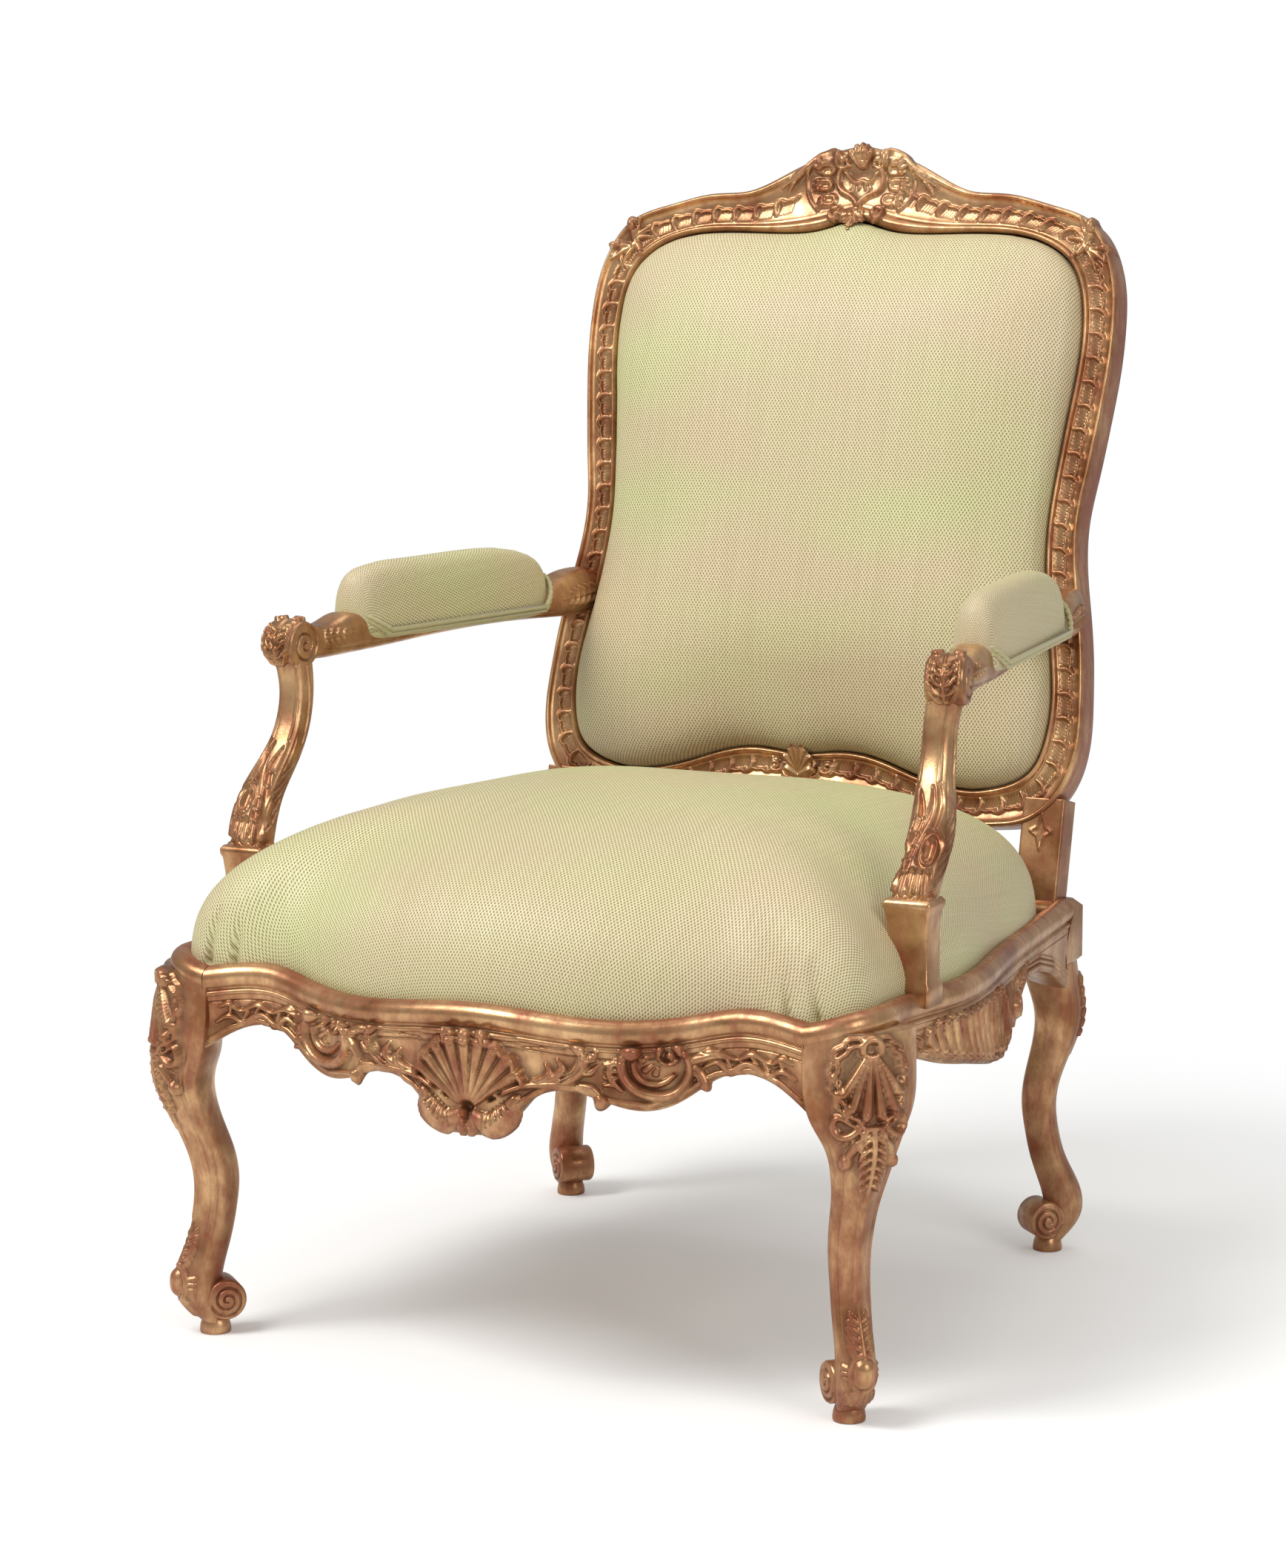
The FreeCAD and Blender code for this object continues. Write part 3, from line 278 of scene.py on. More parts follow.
def leaf_strokes(root, tip, width, pairs, high):
    """A carved leaf: its vein from root to tip and curved lobes on both sides."""
    root, tip = np.array(root, float), np.array(tip, float)
    way = tip - root
    size = np.hypot(*way)
    way = way / size
    side = np.array([-way[1], way[0]])
    strokes = [([root, tip], [width * 0.16, width * 0.13, 0.8], [high * 0.8, high, high * 0.5])]
    for i in range(pairs):
        share = i / pairs
        base = root + way * size * 0.80 * share
        reach = width * (0.55 + 0.45 * math.sin(math.pi * (0.25 + 0.6 * share))) * (1 - 0.45 * share)
        for hand in (-1, 1):
            bow = base + way * reach * 0.30 + side * hand * reach * 0.62
            end = base + way * reach * 0.85 + side * hand * reach * 0.86
            lobe = [width * 0.10, width * 0.17, width * 0.08]
            strokes.append(([base, bow, end], lobe, [high * 0.5, high, high * 0.8]))
    return strokes


def wavy(points, waves, size):
    """A smooth line through a few points, pushed from side to side in even waves."""
    line = smooth_line(points, 4 * waves + 1)
    way = np.gradient(line, axis=0)
    way /= np.linalg.norm(way, axis=1, keepdims=True)
    push = size * np.cos(2 * np.pi * waves * np.linspace(0, 1, len(line)))
    return line + np.stack([-way[:, 1], way[:, 0]], axis=1) * push[:, None]


def spiral(centre, radius, start, turns, hand=1, tight=0.82):
    """Points of a volute that winds in to its eye from a start angle in degrees."""
    count = max(6, int(10 * turns))
    points = []
    for k in range(count + 1):
        share = k / count
        angle = math.radians(start) + hand * share * turns * 2 * math.pi
        r = radius * (1 - tight * share)
        points.append((centre[0] + r * math.cos(angle), centre[1] + r * math.sin(angle)))
    return points


def placed(strokes, hand=1, shift=0):
    """The same strokes on the other hand, or moved along."""
    return [([(hand * a + shift, b) for a, b in points], half, high) for points, half, high in strokes]


LIP_ROWS = 16
PLAIN_ROWS = 18
UNDER_ROWS = 4


def rail_grid(line, outward, edge, deep=78):
    """A seat rail from inside its lip, over the rounded lip, bead and fascia, and round the lower edge."""
    rows = []
    top = line[:, 2]
    for turn in np.radians(np.linspace(172, -62, LIP_ROWS)):
        rows.append((4 + 11 * math.cos(turn), top - 10 + 11 * math.sin(turn)))
    for turn in np.radians(np.linspace(70, -75, 7)):
        rows.append((9.4 + 2.6 * math.cos(turn), top - 23.2 + 2.6 * math.sin(turn)))
    start = top - 27
    for s in np.linspace(0, 1, deep):
        rows.append((10.5 - 2.5 * math.sin(math.pi * s), start + (edge - start) * s))
    for out, drop in ((9, -1.2), (4, -1.6), (-10, -0.5), (-26, 3), (-26, 30)):
        rows.append((out, edge + drop))
    grid = np.empty((len(rows), len(line), 3))
    for i, (out, z) in enumerate(rows):
        grid[i, :, :2] = line[:, :2] + outward * out
        grid[i, :, 2] = z
    return grid


LIP_RUB = (0.6, 1.3, 1.7, 1.5, 1.0, 0.6, 0.3)


def lip_rub(grid):
    """How rubbed each row of a rail is: hands and dusters wear the top of its lip."""
    rub = np.zeros((len(grid), 1))
    rub[3:3 + len(LIP_RUB), 0] = LIP_RUB
    return rub


def closed_rail(grid, height):
    """A rail closed all round and at its ends, left plain over its lip and underneath."""
    height[:PLAIN_ROWS] = 0
    height[-UNDER_ROWS:] = 0
    return skin(grid.transpose(1, 0, 2), height.T, around=True, caps=True, rubbed=lip_rub(grid).T)


FRONT_X = (-288, -218, -180, -128, 0, 128, 180, 218, 288)
FRONT_Y = (-334, -327, -338, -358, -378, -358, -338, -327, -334)
FRONT_TOP = (338, 343, 336, 331, 339, 331, 336, 343, 338)
APRON_X = (0, 30, 52, 72, 96, 125, 151, 175, 203, 236, 262, 288)
APRON_Z = (233, 238, 261, 272, 272, 262, 259, 268, 287, 292, 284, 268)
x = np.linspace(-288, 288, 577)
front_line = np.stack([x, spline(FRONT_X, FRONT_Y, x), spline(FRONT_X, FRONT_TOP, x)], axis=1)
slope = np.gradient(front_line[:, 1], x)
front_out = np.stack([slope, -np.ones_like(x)], axis=1) / np.hypot(slope, 1)[:, None]
apron_edge = spline(APRON_X, APRON_Z, np.abs(x))

SHELL_HUB = np.array((0.0, 250.0))
carving = []
for k in range(-4, 5):
    turn = math.radians(90 + 13 * k)
    way = np.array((math.cos(turn), math.sin(turn)))
    reach = 62 - 0.45 * k * k
    rib = [SHELL_HUB + way * r for r in (10, 0.55 * reach, reach)]
    carving.append((rib, [1.5, 3.4, 5.6], [3, 6, 8.5]))
    carving.append(([SHELL_HUB + way * (reach - 1), SHELL_HUB + way * (reach + 1)], 5.2, 9.5))
half_rim = [(0, 329), (7, 325), (12, 319), (17, 316), (22, 309), (29, 307), (35, 300), (40, 299), (43, 292),
            (43, 286), (48, 281), (51, 274)]
carving += [
    ([(-a, b) for a, b in half_rim[:0:-1]] + half_rim, 2.2, 9.5),
    ([(0, 248), (0, 251)], 6.5, -8),
    ([(-6, 324), (0, 327), (6, 324)], [2.5, 4.5, 2.5], [6, 9, 6]),
]
# On each side of the shell: its scrolled foot, three leaves that curl over it, a bud, and two ribbons
# tied together.
UPPER_RIBBON = ((190, 303), (200, 309), (212, 306), (222, 303), (235, 309), (245, 305), (255, 303),
                (262, 308), (272, 305))
LOWER_RIBBON = ((195, 296), (205, 300), (215, 293), (228, 299), (240, 297), (250, 292), (262, 297),
                (275, 291))
TIES = (((199, 306), (204, 301)), ((212, 304), (216, 296)), ((223, 303), (227, 300)),
        ((235, 306), (240, 299)), ((246, 303), (250, 294)), ((262, 305), (263, 299)))
beside_shell = [
    ([(6, 246), (20, 240), (34, 246), (43, 262)], [5, 8, 9, 4], [6, 8.5, 8.5, 5]),
    ([(20, 261), (31, 268)], 2.6, -6),
    ([(4.5, 243), (4.5, 236)], [2.6, 4.0], [6, 7.5]),
    ([(24, 264), (34, 268), (46, 273), (60, 275.5), (80, 277), (97, 276)],
     [1.8, 2.6, 2.8, 2.6, 2.4, 1.6], [6, 6.5, 5.5, 5, 4.5, 3]),
    ([(57, 277), (66, 280), (72, 287), (69, 293)], [3, 3.6, 3.4, 1.6], [4, 5.5, 6, 3.5]),
    ([(66, 279), (77, 283), (83, 291), (79, 298)], [3, 3.8, 3.6, 1.6], [4, 6, 6.5, 3.5]),
    ([(76, 279), (89, 283), (98, 293), (100, 304), (93, 312), (86, 313)],
     [3, 4.4, 5, 4.6, 3.4, 1.4], [4, 6.5, 7.5, 7.5, 6, 4]),
    ([(97, 288), (106, 289), (111, 294)], [2.6, 3, 1.4], [4, 4.5, 2.5]),
    ([(100, 299), (108, 301), (112, 307)], [2.6, 3, 1.4], [4, 4.5, 2.5]),
    ([(98, 277), (107, 275), (114, 269)], [2.4, 3.6, 2.4], [4, 6, 5]),
    ([(115, 264), (115, 262)], 5.6, 9),
    ([(46, 307), (88, 308)], 0.8, -1.3),
    (UPPER_RIBBON, [1.4, 2.8, 2.2, 1.8, 2.8, 2.2, 1.6, 2.6, 1.4], [3, 5.5, 5, 4, 5.5, 5, 4, 5, 2.5]),
    (LOWER_RIBBON, [1.6, 3.0, 2.2, 3.0, 2.6, 1.8, 2.8, 1.4], [3, 5.5, 4.5, 5.5, 5, 4, 5, 2.5]),
]
for tie in TIES:
    beside_shell.append((tie, [2.0, 1.4], [4, 3]))
for k in range(6):
    flute = [(15 + 5 * k, 235 + 2.2 * k + 0.3 * k * k), (17 + 3.2 * k, 248 + 2.4 * k)]
    beside_shell.append((flute, 0.9, -3.0))
for drift in (-2.0, 1.4):
    vein = [(82, 281 + drift), (90 - drift, 286), (96.5 - drift, 294), (97.5 - drift, 304)]
    beside_shell.append((vein, 0.8, -2.4))
carving += placed(beside_shell) + placed(beside_shell, hand=-1)
# A scroll that winds in to its eye, with leaves off its back; it comes twice, turning the same way.
scroll = [
    ([(134, 306), (131, 297), (133, 285), (142, 275), (158, 270), (172, 273), (181, 284),
      (183, 298), (178, 309), (169, 314), (161, 309), (161, 301), (168, 298), (173, 302)],
     [3.2, 3.8, 3.8, 3.8, 3.8, 3.8, 3.6, 3.4, 3.0, 2.6, 2.4, 2.0, 1.8, 2.2],
     [6, 7, 8, 8.5, 8.5, 8.5, 8.5, 8.5, 8, 7.5, 7, 6.5, 6, 6.5]),
    ([(139, 309), (139.5, 308.5)], 6.4, 9),
    ([(169, 305), (169.5, 305.5)], 3.2, 6),
    ([(140, 299), (142, 288), (150, 281), (162, 281), (171, 288)],
     [2.2, 2.6, 2.6, 2.4, 1.6], [4, 4.5, 4.5, 4, 3]),
    ([(146, 300), (152, 303)], [2.4, 1.2], [3.5, 2]),
    ([(149, 292), (155, 296)], [2.4, 1.2], [3.5, 2]),
    ([(157, 289), (159, 294)], [2.4, 1.2], [3.5, 2]),
    ([(183, 298), (190, 291), (196, 279), (194, 270)], [3, 4.2, 3.6, 1.4], [4, 6.5, 5.5, 3]),
    ([(187, 293), (193, 281)], 0.8, -2.2),
    ([(183, 299), (194, 304), (204, 306), (214, 303)], [3, 3.8, 3.2, 1.4], [4, 6.5, 5.5, 3]),
    ([(126, 300), (121, 291), (124, 281), (131, 274)], [1.6, 3.0, 2.8, 1.6], [3, 5, 4.5, 3]),
]
for k in range(4):
    scroll.append(([(127 - 0.6 * k, 297 - 6 * k), (117, 296 - 6 * k)], [2.4, 1.2], [4, 2.5]))
carving += placed(scroll) + placed(scroll, shift=-310)
edge_line = [(a, np.interp(abs(a), APRON_X, APRON_Z) + 3.4) for a in np.linspace(-280, 280, 113)]
carving.append((edge_line, 2.0, 2.6))
fine_line = [(a, spline(FRONT_X, FRONT_TOP, [a])[0] - 31) for a in np.linspace(-282, 282, 48)]
carving.append((fine_line, 0.9, -1.2))

rail = rail_grid(front_line, front_out, apron_edge)
raised = relief(rail[:, :, 0], rail[:, :, 2], carving, 1.3)
# The shell swells forward by 6 mm.
raised += 6 * np.clip(1 - (rail[:, :, 0] / 54) ** 2 - ((rail[:, :, 2] - 282) / 58) ** 2, 0, 1) ** 0.7
piece("front_seat_rail", [closed_rail(rail, raised)], gilding, "front_rail")

# Side seat rails: beech, gilded, with the same lip; the lower edge dips to a fluted cartouche.
# Each is tenoned into the front leg and the rear leg, and carries the arm support's plinth.
LIP = ((0, -378, 339), (128, -358, 331), (180, -338, 336), (218, -327, 343), (279, -334, 338),
       (315, -322, 347), (325, -300, 349), (323, -260, 348), (330, -150, 345), (308, 20, 345),
       (289, 173, 348), (285, 244, 352))
whole_lip = smooth_line([(-a, b, c) for a, b, c in LIP[:0:-1]] + list(LIP), 4001)[2000:]
SIDE_EDGE_Y = (-286, -255, -225, -185, -128, -60, -15, 30, 70, 108, 150, 195, 238)
SIDE_EDGE_Z = (281, 297, 296, 284, 272, 258, 257, 276, 283, 302, 301, 290, 270)
past_corner = whole_lip[:, 1] > -288
side_path = whole_lip[past_corner & (whole_lip[:, 0] > 200)]
y = np.linspace(-286, 240, 506)
side_x, side_top = (np.interp(y, side_path[:, 1], side_path[:, k]) for k in (0, 2))
side_line = np.stack([side_x, y, side_top], axis=1)
slope = np.gradient(side_line[:, 0], y)
side_out = np.stack([np.ones_like(y), -slope], axis=1) / np.hypot(slope, 1)[:, None]
side_edge = spline(SIDE_EDGE_Y, SIDE_EDGE_Z, y)
carving = []


def above_edge(reach, lift):
    """Points along the lower edge of the side rail, a little above it."""
    return [(a, np.interp(a, SIDE_EDGE_Y, SIDE_EDGE_Z) + lift) for a in reach]


for k in range(9):
    foot = -197 + 16.2 * k
    (_, low), = above_edge([foot], 9)
    flute = [(foot - 4, 314), (foot, 0.5 * (314 + low)), (foot + 3, low)]
    carving.append((flute, [3.2, 5.0, 6.4], [2.5, 5.5, 7.5]))
    carving.append(([(foot - 8, 311), (foot - 6, low + 8)], 0.9, -2.0))
carving.append((wavy([(-214, 304), (-196, 314), (-130, 317), (-62, 316)], 9, 1.4), 1.8, 4.5))
carving.append((wavy(above_edge(np.linspace(-206, -62, 9), 5), 9, 1.6), 2.2, 7))
for middle, half, top, low in ((-46, 8, 313, 269), (-24, 9.5, 314, 266), (0, 8.5, 312, 271)):
    gadroon = [(middle - 2, top), (middle, 0.5 * (top + low)), (middle + 1, low)]
    carving.append((gadroon, [half * 0.6, half, half * 0.9], [4, 8, 9]))
    for k in (-1, 0, 1):
        carving.append(([(middle + 3 * k - 1, top - 3), (middle + 4.4 * k + 1, low)], 0.8, -2.2))
carving.append((wavy([(-58, 262), (-24, 259), (14, 271)], 4, 1.5), 2.2, 8))
curl = [(12, 300), (17, 286), (30, 277), (46, 274), (60, 279), (66, 291), (58, 301), (46, 300), (42, 291)]
carving.append((curl, [3.4, 3.4, 3.4, 3.4, 3.2, 3.0, 2.8, 2.4, 2.2], [6, 7, 7, 7, 7, 7, 6.5, 6, 5]))
carving.append(([(52, 286), (52, 285)], 6, 9))
for k in range(5):
    frond = [(20 + 7 * k, 290 - 3 * k), (24 + 6 * k, 302 - 2 * k), (30 + 5 * k, 309)]
    carving.append((frond, [2.2, 3.0, 1.2], [4, 4.5, 2]))
carving += leaf_strokes((70, 300), (104, 313), 9, 4, 4.5)
for lift in (4, 9, 14):
    carving.append((above_edge(np.linspace(76 + lift, 237, 33), lift), 2.0, 2.8))
carving += leaf_strokes((-214, 303), (-272, 306), 10, 5, 4.8)
carving.append((above_edge(np.linspace(-279, 70, 80), 3.4), 1.8, 2.4))
fine_line = [(a, np.interp(a, y, side_top) - 31) for a in np.linspace(-279, 237, 40)]
carving.append((fine_line, 0.9, -1.2))
rail = rail_grid(side_line, side_out, side_edge, 66)
side_rail = [closed_rail(rail, relief(rail[:, :, 1], rail[:, :, 2], carving, 1.15))]
piece("side_seat_rail_right", side_rail, gilding, "side_rail_right")
piece("side_seat_rail_left", mirrored(side_rail), gilding, "side_rail_left")

# Front legs: beech cabriole legs set on the diagonal, a shell carved on each knee and a leaf on each foot.
# The foot turns under in a scroll and stands on a turned pad; the rails' tenons are pegged into the block.
# Rows of a leg: height, how far its middle stands out, its two half sizes and how square it is.
FRONT_LEG = ((10, 4, 7, 12, 2.0), (26, 10, 16, 16, 1.8), (44, 14, 20, 17.5, 1.7),
             (62, 11.5, 20.5, 17, 1.6), (86, 3.5, 19, 16.5, 1.6), (112, -2, 18.8, 16.5, 1.6),
             (138, -4, 19.5, 17.5, 1.6), (165, 0.5, 20.3, 19, 1.55), (190, 10, 21, 21, 1.5),
             (214, 19, 23, 25.5, 1.45), (238, 23, 26.5, 33, 1.4), (258, 20, 29, 43.5, 1.4),
             (272, 19, 29, 48, 1.42), (290, 17.5, 28.6, 50, 1.46), (310, 16.5, 27, 50, 1.5),
             (334, 15.5, 25, 50, 1.5))


def leg_grid(table, foot, facing, step=1.15, around=150):
    """A leg as rows of rounded diamonds, with the distance round each row from its outer edge."""
    table = np.array(table, float)
    z = np.arange(table[0, 0], table[-1, 0], step)
    r, a, b, power = spline(table[:, 0], table[:, 1:], z).T
    turn = np.linspace(0, 2 * np.pi, around, endpoint=False) + np.pi
    c, s = np.cos(turn)[None], np.sin(turn)[None]
    deep = r[:, None] + a[:, None] * np.sign(c) * np.abs(c) ** (2 / power[:, None])
    wide = b[:, None] * np.sign(s) * np.abs(s) ** (2 / power[:, None])
    out = np.array((math.cos(math.radians(facing)), math.sin(math.radians(facing))))
    grid = np.empty(deep.shape + (3,))
    grid[:, :, 0] = foot[0] + deep * out[0] - wide * out[1]
    grid[:, :, 1] = foot[1] + deep * out[1] + wide * out[0]
    grid[:, :, 2] = z[:, None]
    steps = np.hypot(np.diff(deep, axis=1), np.diff(wide, axis=1))
    girth = np.concatenate([np.zeros((len(z), 1)), np.cumsum(steps, axis=1)], axis=1)
    return grid, girth - girth[:, around // 2][:, None]


def wheel(centre, axis, profile, strokes=(), rim=(), around=96):
    """A turned shape about an axis from rows of radius and distance along it, carved on faces and rim."""
    axis = np.array(axis, float) / np.linalg.norm(axis)
    up = np.array((0, 0, 1.0)) if abs(axis[2]) < 0.9 else np.array((0, 1.0, 0))
    side = np.cross(up, axis)
    side /= np.linalg.norm(side)
    rise = np.cross(axis, side)
    turn = np.linspace(0, 2 * np.pi, around, endpoint=False)
    radius, along = np.array(profile, float).T
    ring = side[None] * np.cos(turn)[:, None] + rise[None] * np.sin(turn)[:, None]
    grid = np.array(centre, float) + radius[:, None, None] * ring[None] + along[:, None, None] * axis
    height = relief(radius[:, None] * np.cos(turn), radius[:, None] * np.sin(turn), strokes)
    height[np.abs(along) < 0.8 * np.abs(along).max()] = 0
    on_rim = radius > 0.93 * radius.max()
    round_rim, over_rim = np.broadcast_arrays(radius.max() * turn, along[:, None])
    height[on_rim] += relief(round_rim, over_rim, rim)[on_rim]
    return skin(grid, height, around=True, caps=True, flip=True)


def disc_profile(radius, half, eye, bulge=0.0, rows_on_rim=2):
    """Rows over a scroll's face, its rounded rim and its other face, the middle standing out a little."""
    radii = np.linspace(0.4, radius - 1.2, 26)
    face = half + eye * np.clip(1 - radii / radius, 0, 1)
    rows = [(r, w) for r, w in zip(radii, face)]
    across = np.linspace(half - 1.5, 1.5 - half, rows_on_rim)
    rim = [(radius + bulge * (1 - (w / half) ** 2), w) for w in across]
    return rows + rim + [(r, -w) for r, w in reversed(rows)]


knee = []
hub = np.array((0.0, 322.0))
for place, reach in ((0.5, 54), (1.5, 50), (2.5, 42)):
    for hand in (-1, 1):
        turn = math.radians(-90 + hand * 12.7 * place)
        way = np.array((math.cos(turn), math.sin(turn)))
        rib = [hub + way * 7, hub + way * 0.6 * reach, hub + way * reach]
        knee.append((rib, [1.5, 2.6, 4.0], [4.5, 6.5, 7.5]))
        knee.append(([hub + way * (reach + 0.5), hub + way * (reach + 2.5)], 3.0, 8.5))
half_rim = [(0, 256), (9, 260), (21, 272), (28, 288), (29, 304), (22, 318), (8, 325)]
for grow, half, high, waves in ((0.0, 1.8, 6.5, 12), (5.0, 1.6, 4.5, 14)):
    outline = np.array([(-a, b) for a, b in half_rim[:0:-1]] + half_rim, float)
    outline += (outline - (0, 292)) * grow / 30
    knee.append((wavy(outline, waves, 1.1), half, high))
cap = [(-7, 318), (-6, 326), (0, 329), (6, 326), (7, 318)]
knee.append((cap, [2.4, 3.0, 3.4, 3.0, 2.4], [7, 8, 8, 8, 7]))
beside_knee = [
    ([(9, 262), (17, 252), (27, 250), (33, 258), (29, 266), (22, 263)],
     [2.2, 3.0, 3.0, 2.8, 2.4, 2.0], [4.5, 6, 6.5, 6.5, 6, 5]),
    ([(6, 252), (16, 240), (22, 229)], [2.2, 3.2, 2.4], [4.5, 6, 5]),
    ([(22, 229), (22, 227)], 4.8, 7.5),
]
for k in range(4):
    beside_knee.append(([(12 + 4 * k, 246 + k), (15 + 4.5 * k, 238 + 2 * k)], [1.6, 1.0], [4, 2.5]))
knee += placed(beside_knee) + placed(beside_knee, hand=-1)
knee += leaf_strokes((0, 257), (0, 188), 14, 7, 6.5)
knee.append(([(0, 190), (0, 150), (0, 106)], [2.6, 2.2, 2.6], [2.4, 2.0, 2.4]))
foot_leaf = leaf_strokes((0, 60), (0, 104), 15, 5, 3.6)
foot_leaf.append(([(0, 45), (0, 51)], 8, 6.5))
ring = [(12 * math.cos(t), 48 + 15 * math.sin(t)) for t in np.linspace(0, 2 * np.pi, 25)]
foot_leaf.append((ring, 1.8, 3.4))
for k in range(-3, 4):
    foot_leaf.append(([(3.6 * k, 33 - 0.4 * abs(k)), (5.2 * k, 19 + 1.1 * abs(k))], [2.0, 2.8], [3, 2.4]))
for k in (-1, 0, 1):
    ray = ([(13, 48 + 4 * k), (20, 48 + 5 * k)], [1.2, 1.8], [2.2, 2])
    foot_leaf += placed([ray]) + placed([ray], hand=-1)

VOLUTE = [(spiral((0, 0), 15.5, 200, 2.2, 1, 0.9), [1.5, 1.1], -2.4)]
FOOT_PAD = [(0.2, 0.0), (12, 0.0), (13.6, 0.6), (14, 3), (13.4, 8), (11.8, 13), (10, 16), (0.2, 16)]


def leg_parts(table, foot, facing, strokes):
    """Shaft, scrolled foot and turned pad of one leg."""
    grid, girth = leg_grid(table, foot, facing)
    shaft = relief(girth, np.broadcast_to(grid[:, :, 2], girth.shape), strokes, 1.3)
    quarter = np.abs(girth[:, len(girth[0]) // 4])[:, None]
    for spot, half, high in ((0.80, 2.4, 1.6), (0.62, 0.9, -0.9)):
        away = np.abs(np.abs(girth) - spot * quarter) / half
        above_foot = np.clip((grid[:, :1, 2] - 60) / 40, 0, 1)
        below_knee = np.clip((300 - grid[:, :1, 2]) / 60, 0, 1)
        shaft += high * np.clip(1 - away ** 2, 0, 1) * above_foot * below_knee
    out = np.array((math.cos(math.radians(facing)), math.sin(math.radians(facing)), 0))
    across = np.array((-out[1], out[0], 0))
    eye = np.array((*foot, 32.0)) - out * 7
    return [
        skin(grid, shaft, around=True, caps=True),
        wheel(eye, across, disc_profile(18, 17, 4), VOLUTE),
        wheel((*foot, 0), (0, 0, 1), FOOT_PAD),
    ]


corner = whole_lip[(whole_lip[:, 0] > 283.5) & (whole_lip[:, 1] < -280.5)][::3]
tangent = np.gradient(corner[:, :2], axis=0)
corner_out = np.stack([tangent[:, 1], -tangent[:, 0]], axis=1) / np.linalg.norm(tangent, axis=1)[:, None]
corner_grid = rail_grid(corner, corner_out, corner[:, 2] - 34, 4)
front_leg = leg_parts(FRONT_LEG, (307, -299), -45, knee + foot_leaf)
front_leg.append(skin(corner_grid, flip=True, rubbed=lip_rub(corner_grid)))
piece("carved_front_leg_right", front_leg, gilding, "front_leg_right")
piece("carved_front_leg_left", mirrored(front_leg), gilding, "front_leg_left")

# Back frame: crest rail, two stiles and lower rail of beech, beaded along both edges, with a band of
# carved rocaille in the hollow between them. A cartouche crowns it; the stiles run down into the rear legs.
# Each row pairs a point of the inner edge with one of the outer edge, on the plane of the back.
RAKE = math.radians(13.7)
BACK_FOOT = 175.4
FRAME_ROWS = np.array((
    (0, 978, 0, 1050), (26, 972, 24, 1046), (51, 967, 58, 1034), (80, 966, 90, 1018),
    (110, 967, 118, 1007), (150, 967, 158, 1004), (186, 962, 205, 993), (216, 948, 248, 975),
    (236, 925, 272, 932), (245, 890, 278, 890), (246, 851, 278, 850), (240, 795, 273, 795),
    (234, 740, 266, 740), (231, 700, 261, 700), (232, 660, 263, 660), (240, 603, 273, 606),
    (247, 565, 279, 566), (251, 530, 282, 533), (247, 487, 282, 482), (238, 466, 270, 446),
    (221, 453, 239, 417), (200, 446, 205, 410), (179, 443, 178, 409), (150, 446, 148, 413),
    (118, 454, 118, 419), (92, 463, 92, 426), (69, 469, 69, 431), (50, 471, 50, 433),
    (31, 470, 31, 435), (0, 466, 0, 436),
), float)


def on_back(u, z, w):
    """Points on the plane of the back at a height z, w in front of it."""
    back = BACK_FOOT + z * math.tan(RAKE) - w * math.cos(RAKE)
    return np.stack(np.broadcast_arrays(u, back, z + w * math.sin(RAKE)), axis=-1)


HIDDEN_ROWS, INNER_BEAD, HOLLOW, OUTER_BEAD = 2, 11, 32, 9


def frame_part(first, last, step, strokes, cove_strokes):
    """A stretch of the back frame between two rows, mirrored rows below nought."""
    rows = np.vstack([FRAME_ROWS[:0:-1] * (-1, 1, -1, 1), FRAME_ROWS])
    middle = (rows[:, :2] + rows[:, 2:]) / 2
    s = np.concatenate([[0], np.cumsum(np.hypot(*np.diff(middle, axis=0).T))])
    s -= s[len(FRAME_ROWS) - 1]
    wanted = np.arange(s[first + len(FRAME_ROWS) - 1], s[last + len(FRAME_ROWS) - 1] + step, step)
    line = spline(s, rows, wanted)
    profile = [(0.0, -20), (0.0, -9)]
    for t in np.linspace(0, 1, INNER_BEAD):
        profile.append((0.01 + 0.18 * t, -3 + 6.0 * math.sin(math.pi * (0.12 + 0.86 * t)) ** 0.8))
    for t in np.linspace(0, 1, HOLLOW):
        profile.append((0.21 + 0.61 * t, -2 - 3.6 * math.sin(math.pi * t) ** 0.7))
    for t in np.linspace(0, 1, OUTER_BEAD):
        profile.append((0.835 + 0.155 * t, -2.5 + 4.6 * math.sin(math.pi * (0.04 + 0.86 * t)) ** 0.8))
    profile += [(1.0, -4), (1.0, -14), (1.0, -26), (0.99, -33), (0.95, -34), (0.6, -34), (0.28, -34),
                (0.27, -22)]
    share, depth = np.array(profile).T
    u = line[:, 0][None] + share[:, None] * (line[:, 2] - line[:, 0])[None]
    z = line[:, 1][None] + share[:, None] * (line[:, 3] - line[:, 1])[None]
    grid = on_back(u, z, depth[:, None])
    hollow_start = HIDDEN_ROWS + INNER_BEAD
    hollow_end = hollow_start + HOLLOW
    side_start = hollow_end + OUTER_BEAD
    height = relief(u, z, strokes)
    width = np.hypot(line[:, 2] - line[:, 0], line[:, 3] - line[:, 1])
    across = (share[:, None] - 0.515) * width[None]
    band = relief(np.broadcast_to(wanted[None], across.shape), across, cove_strokes)
    band[:hollow_start] = 0
    band[hollow_end:] = 0
    height = height + np.where(height > 0.5, 0, band)
    height[:HIDDEN_ROWS] = 0
    height[side_start + 2:] = 0
    # The outer side and the back of the frame are handled, so the clay shows there.
    handled = np.zeros((len(profile), 1))
    handled[side_start:] = 2.2
    return skin(grid, height, rubbed=handled)


